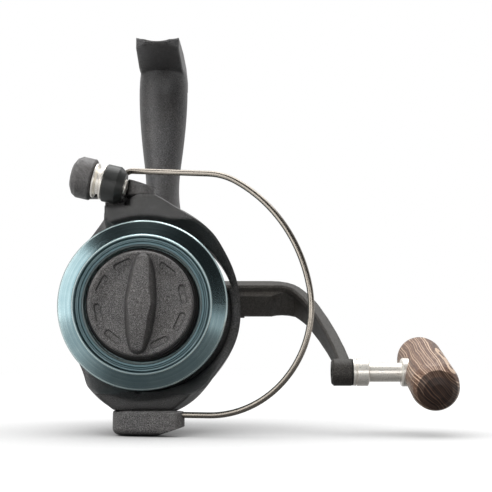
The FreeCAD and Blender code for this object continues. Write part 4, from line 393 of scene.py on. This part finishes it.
# ---- the drag knob, made here in place of its CAD node -------------------------------------------
KNOB_SEGMENTS = 400
KNOB_RING_STEP = 0.19
KNOB_LEAN = math.radians(3.0)            # the grip stands this far off upright
KNOB_GAP = 0.5                           # the rim is this much smaller than the skirt behind it
RIM_HEIGHT = 2.2                         # from the rim back to the skirt
FACE_SINK = 1.1                          # the dished face behind the rim
FACE_MARGIN = 5.2                        # the flat of the dish ends this far from the knob's edge
RIM_PROFILE = [(FACE_MARGIN, FACE_SINK), (1.4, 0.2), (0.8, 0.0), (0.45, 0.06), (0.15, 0.26), (0.0, 0.6)]
GRIP_RISE = 4.2                          # from the dished face to the crest's middle
GRIP_ARCH = 60.0                         # radius of the crest, seen from the side
RIM_BEHIND_CREST = GRIP_RISE - FACE_SINK
GRIP_MIDDLE_HALF = 4.5
GRIP_END_HALF = 2.2
GRIP_END_GAP = 0.55                      # from the grip's end to the knob's edge
GRIP_END_TAPER = 2.4                     # the end is rounded in outline over this length
GRIP_END_DROP = 1.6                      # and from the side over this one
CREST_SHARE = 0.58                       # the flat crest's share of the grip's width
CREST_CROWN = 0.12
NARROWEST_CREST = 0.1
DIAMOND_SHARE = 0.18                     # what the diamond in the middle adds to the crest
DIAMOND_REACH = 4.4
SLOT_ANGLES = (52, 12, -25, -64, 115, 154, 193, 231)
SLOT_FROM_EDGE = 2.9
SLOT_ZONE = 4.5                          # no slot reaches further in from the knob's edge
SLOT_HALF_LENGTH = 2.7
SLOT_HALF_WIDTH = 0.85
SLOT_SINK = 0.38
SLOT_WALL = 0.12
SLOT_LINE = 0.16                         # half width of the painted shade line round a slot
# darkness of the painted shade line round a slot
SLOT_LINE_SHADE = 0.85
FLANK_SHADE = 0.8                        # painted shade at the grip's foot, fading out over FLANK_REACH
FLANK_REACH = 2.4
FACE_CLEAR = 0.05                        # the grip begins where it stands this proud
SKIRT_WALL = 1.8
FRONT_WALL = 2.0
WALL_CHAMFER = 0.4
BOSS_RADIUS = 7.4                        # the boss inside, which presses on the drag
BOSS_BORE = 4.2
NEAR_AXIS = 8.0                          # inside this radius the CAD knob ends with its boss
SHARP_ANGLE = math.radians(38)


def stepped(value, low, high):
    """0 below low, 1 above high, smooth between."""
    share = min(1.0, max(0.0, (value - low) / (high - low)))
    return share * share * (3 - 2 * share)


def face_depth(r, radius):
    """Depth behind the rim of the knob's dished face and rounded edge, at r from the axis."""
    if r <= radius - FACE_MARGIN:
        return FACE_SINK
    for (margin0, depth0), (margin1, depth1) in zip(RIM_PROFILE, RIM_PROFILE[1:]):
        r0, r1 = radius - margin0, radius - margin1
        if r <= r1:
            return depth0 + (depth1 - depth0) * (r - r0) / (r1 - r0)
    return RIM_PROFILE[-1][1]


def grip_height(u, v, radius):
    """Height over the face of the leaf-shaped grip, u across it and v along it."""
    end = radius - GRIP_END_GAP
    share = abs(v) / end
    if share >= 1:
        return 0.0
    half = GRIP_END_HALF + (GRIP_MIDDLE_HALF - GRIP_END_HALF) * (1 - share * share)
    half *= math.sqrt(1 - stepped(abs(v), end - GRIP_END_TAPER, end) ** 2)
    crest = half * (CREST_SHARE + DIAMOND_SHARE * max(0.0, 1 - abs(v) / DIAMOND_REACH))
    rise = GRIP_RISE - (GRIP_ARCH - math.sqrt(GRIP_ARCH ** 2 - v * v))
    into_end = max(0.0, (abs(v) - end + GRIP_END_DROP) / GRIP_END_DROP)
    rise *= math.sqrt(max(0.0, 1 - into_end ** 2))
    if abs(u) >= half:
        return 0.0
    if abs(u) <= crest:
        return rise - CREST_CROWN * (u / max(crest, NARROWEST_CREST)) ** 2
    return (rise - CREST_CROWN) * (half - abs(u)) / (half - crest)


def slot_depth(x, z, radius):
    """Depth of the round-ended slots in the sloping part of the face, and the painted shade round them.
    """
    if math.hypot(x, z) < radius - SLOT_ZONE:
        return 0.0, 0.0
    for angle in SLOT_ANGLES:
        turn = math.radians(angle)
        outward = x * math.cos(turn) + z * math.sin(turn) - (radius - SLOT_FROM_EDGE)
        side = abs(z * math.cos(turn) - x * math.sin(turn))
        away = math.hypot(outward, max(0.0, side - SLOT_HALF_LENGTH + SLOT_HALF_WIDTH))
        if away < SLOT_HALF_WIDTH + SLOT_LINE:
            outline = max(0.0, 1 - abs(away - SLOT_HALF_WIDTH) / SLOT_LINE)
            filled = stepped(away, SLOT_HALF_WIDTH - SLOT_WALL, SLOT_HALF_WIDTH + SLOT_WALL)
            return SLOT_SINK * (1 - filled), outline
    return 0.0, 0.0


def knob_surface(x, z, radius):
    """Depth behind the rim of the knob's front at (x, z) from its axis, and the painted shade of its
    creases.
    """
    u = x * math.cos(KNOB_LEAN) - z * math.sin(KNOB_LEAN)
    v = x * math.sin(KNOB_LEAN) + z * math.cos(KNOB_LEAN)
    sink, outline = slot_depth(x, z, radius)
    face = face_depth(math.hypot(x, z), radius) + sink
    proud = face - FACE_SINK + grip_height(u, v, radius)
    flank = max(0.0, 1 - proud / FLANK_REACH) if proud > FACE_CLEAR else 0.0
    return face - max(0.0, proud), max(SLOT_LINE_SHADE * outline, FLANK_SHADE * flank)


def turned_faces(rings):
    """Faces of a closed turned skin: a middle point, rings of KNOB_SEGMENTS points, a last point."""
    count = KNOB_SEGMENTS
    faces = [(0, 1 + k, 1 + (k + 1) % count) for k in range(count)]
    for ring in range(rings - 1):
        start = 1 + ring * count
        for k in range(count):
            after = (k + 1) % count
            faces.append((start + k, start + count + k, start + count + after, start + after))
    last = 1 + (rings - 1) * count
    return faces + [(last + k, last + count, last + (k + 1) % count) for k in range(count)]


def drag_knob():
    """The drag knob: leaf-shaped grip with a diamond on its crest, slotted dish, hollow back."""
    low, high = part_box("drag_knob")
    skirt = (high.x - low.x) / 2 / MM
    radius = skirt - KNOB_GAP
    rim = low.y / MM + RIM_BEHIND_CREST
    rear = high.y / MM
    corners = [v.co for v in nodes["drag_knob"].data.vertices]
    boss_end = max(c.y for c in corners
                   if math.hypot(c.x - SPOOL_AXIS_X, c.z - SPOOL_AXIS_Z) < NEAR_AXIS * MM) / MM
    turns = [2 * math.pi * k / KNOB_SEGMENTS for k in range(KNOB_SEGMENTS)]
    directions = [(math.cos(turn), math.sin(turn)) for turn in turns]
    front_rings = int(radius / KNOB_RING_STEP)
    depth, shade = knob_surface(0.0, 0.0, radius)
    points = [(0.0, rim + depth, 0.0)]
    creases = [shade]
    for ring in range(1, front_rings + 1):
        r = radius * ring / front_rings
        for cos, sin in directions:
            depth, shade = knob_surface(r * cos, r * sin, radius)
            points.append((r * cos, rim + depth, r * sin))
            creases.append(shade)
    inside = rim + FACE_SINK + FRONT_WALL
    back = [(radius, rim + RIM_HEIGHT), (skirt, rim + RIM_HEIGHT), (skirt, rear),
            (skirt - SKIRT_WALL, rear), (skirt - SKIRT_WALL, inside + WALL_CHAMFER),
            (BOSS_RADIUS, inside), (BOSS_RADIUS, boss_end), (BOSS_BORE, boss_end), (BOSS_BORE, inside)]
    for r, y in back:
        points.extend((r * cos, y, r * sin) for cos, sin in directions)
    points.append((0.0, inside, 0.0))
    creases.extend([1.0] * (len(points) - len(creases)))      # the hollow back gets painted shade all over
    mesh = bpy.data.meshes.new("drag_knob_moulding")
    places = [(SPOOL_AXIS_X + x * MM, y * MM, SPOOL_AXIS_Z + z * MM) for x, y, z in points]
    mesh.from_pydata(places, [], turned_faces(front_rings + len(back)))
    # the painted crease shade is stored on the mesh, for the knob's material to darken its colour
    mesh.attributes.new("painted_crease_shade", "FLOAT", "POINT").data.foreach_set("value", creases)
    mesh.shade_smooth()
    mesh.set_sharp_from_angle(angle=SHARP_ANGLE)
    piece = bpy.data.objects.new("drag_knob_moulding", mesh)
    bpy.context.scene.collection.objects.link(piece)
    paint(piece, knob_skin)
    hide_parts("drag_knob")
    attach(piece, "drag_knob")


drag_knob()


# ---- floor, light and camera --------------------------------------------------------------------
def floor():
    """A pale floor that keeps the object's shadow, adds a painted one, and runs into the white
    background.
    """
    bpy.ops.mesh.primitive_plane_add(size=FLOOR_SIZE, location=(0, 0, FLOOR_Z))
    plane = bpy.context.object
    plane.name = "floor"
    g = Graph("floor_white")
    path = g.add("LightPath")
    mirrored = g.math("MAXIMUM", path.outputs["Is Glossy Ray"], path.outputs["Is Transmission Ray"])
    place = g.add("TexCoord")
    away = g.add("VectorMath", {0: place.outputs["Object"]}, operation="LENGTH")
    card = g.add("VectorMath", {0: place.outputs["Object"], 1: DARK_CARD}, operation="DISTANCE")
    beyond = g.add("MapRange", {"Value": card.outputs["Value"], "From Min": DARK_CARD_RADIUS,
                                "From Max": DARK_CARD_RADIUS * CARD_EDGE, "To Min": 0.0,
                                "To Max": FLOOR_MIRRORED})
    seen = g.math("MAXIMUM", path.outputs["Is Camera Ray"], g.math("MULTIPLY", mirrored, beyond))
    # the glow is lower near the reel, a painted shade round it
    glow = g.add("MapRange", {"Value": away.outputs["Value"], "From Min": GLOW_REACH[0],
                              "From Max": GLOW_REACH[1], "To Min": FLOOR_GLOW, "To Max": 1.0})
    g.surface(Base_Color=(FLOOR_GREY, FLOOR_GREY, FLOOR_GREY, 1), Roughness=0.9)
    # painted contact shadow: ambient occlusion dims the glow under the reel
    painted_contact_shadow = g.add("AmbientOcclusion", {"Distance": CONTACT_REACH}, samples=16)
    glow_with_painted_shadow = g.math("MULTIPLY", glow, g.math("POWER", painted_contact_shadow.outputs["AO"], CONTACT_POWER))
    lift = g.add("Emission", {"Color": (1, 1, 1, 1), "Strength": g.math("MULTIPLY", seen, glow_with_painted_shadow)})
    both = g.add("AddShader", {0: g.shader, 1: lift})
    g.tree.links.new(both.outputs[0], g.tree.nodes["Material Output"].inputs["Surface"])
    paint(plane, g.material)


def world():
    """White where the camera sees it, and otherwise dim in front and bright behind and above."""
    sky = bpy.data.worlds.new("studio")
    bpy.context.scene.world = sky
    sky.use_nodes = True
    tree = sky.node_tree
    background = tree.nodes["Background"]
    path = tree.nodes.new("ShaderNodeLightPath")
    direction = tree.nodes.new("ShaderNodeTexCoord")
    parts = tree.nodes.new("ShaderNodeSeparateXYZ")
    tree.links.new(direction.outputs["Generated"], parts.inputs[0])
    both = tree.nodes.new("ShaderNodeMath")
    for index, (axis, stops) in enumerate((("Y", SKY_BY_Y), ("Z", SKY_BY_Z))):
        strength = tree.nodes.new("ShaderNodeMapRange")
        tree.links.new(parts.outputs[axis], strength.inputs["Value"])
        for key, value in zip(("From Min", "From Max", "To Min", "To Max"), stops):
            strength.inputs[key].default_value = value
        tree.links.new(strength.outputs[0], both.inputs[index])
    pick = tree.nodes.new("ShaderNodeMix")
    tree.links.new(path.outputs["Is Camera Ray"], pick.inputs[0])
    tree.links.new(both.outputs[0], pick.inputs[2])
    pick.inputs[3].default_value = 1.0
    tree.links.new(pick.outputs[0], background.inputs["Strength"])
    background.inputs["Color"].default_value = (1, 1, 1, 1)


def softbox(name, place, aim, width, height, watts, mirrored):
    light = bpy.data.lights.new(name, "AREA")
    light.shape = "RECTANGLE"
    light.size = width
    light.size_y = height
    light.energy = watts
    lamp = bpy.data.objects.new(name, light)
    bpy.context.scene.collection.objects.link(lamp)
    lamp.location = (place[0], place[1], SPOOL_AXIS_Z + place[2])
    lamp.visible_glossy = mirrored
    lamp.rotation_euler = (aim - lamp.location).to_track_quat("-Z", "Y").to_euler()


def camera():
    data = bpy.data.cameras.new("camera")
    data.lens = CAMERA_LENS
    data.sensor_width = SENSOR_WIDTH
    data.clip_start = CLIP_START
    eye = bpy.data.objects.new("camera", data)
    bpy.context.scene.collection.objects.link(eye)
    eye.location = CAMERA_PLACE
    eye.rotation_euler = Euler((math.radians(90 + CAMERA_PITCH), 0, 0))
    bpy.context.scene.camera = eye


floor()
world()
for name, settings in SOFTBOXES.items():
    softbox(name, *settings)
camera()
bpy.context.scene.view_settings.view_transform = "Standard"
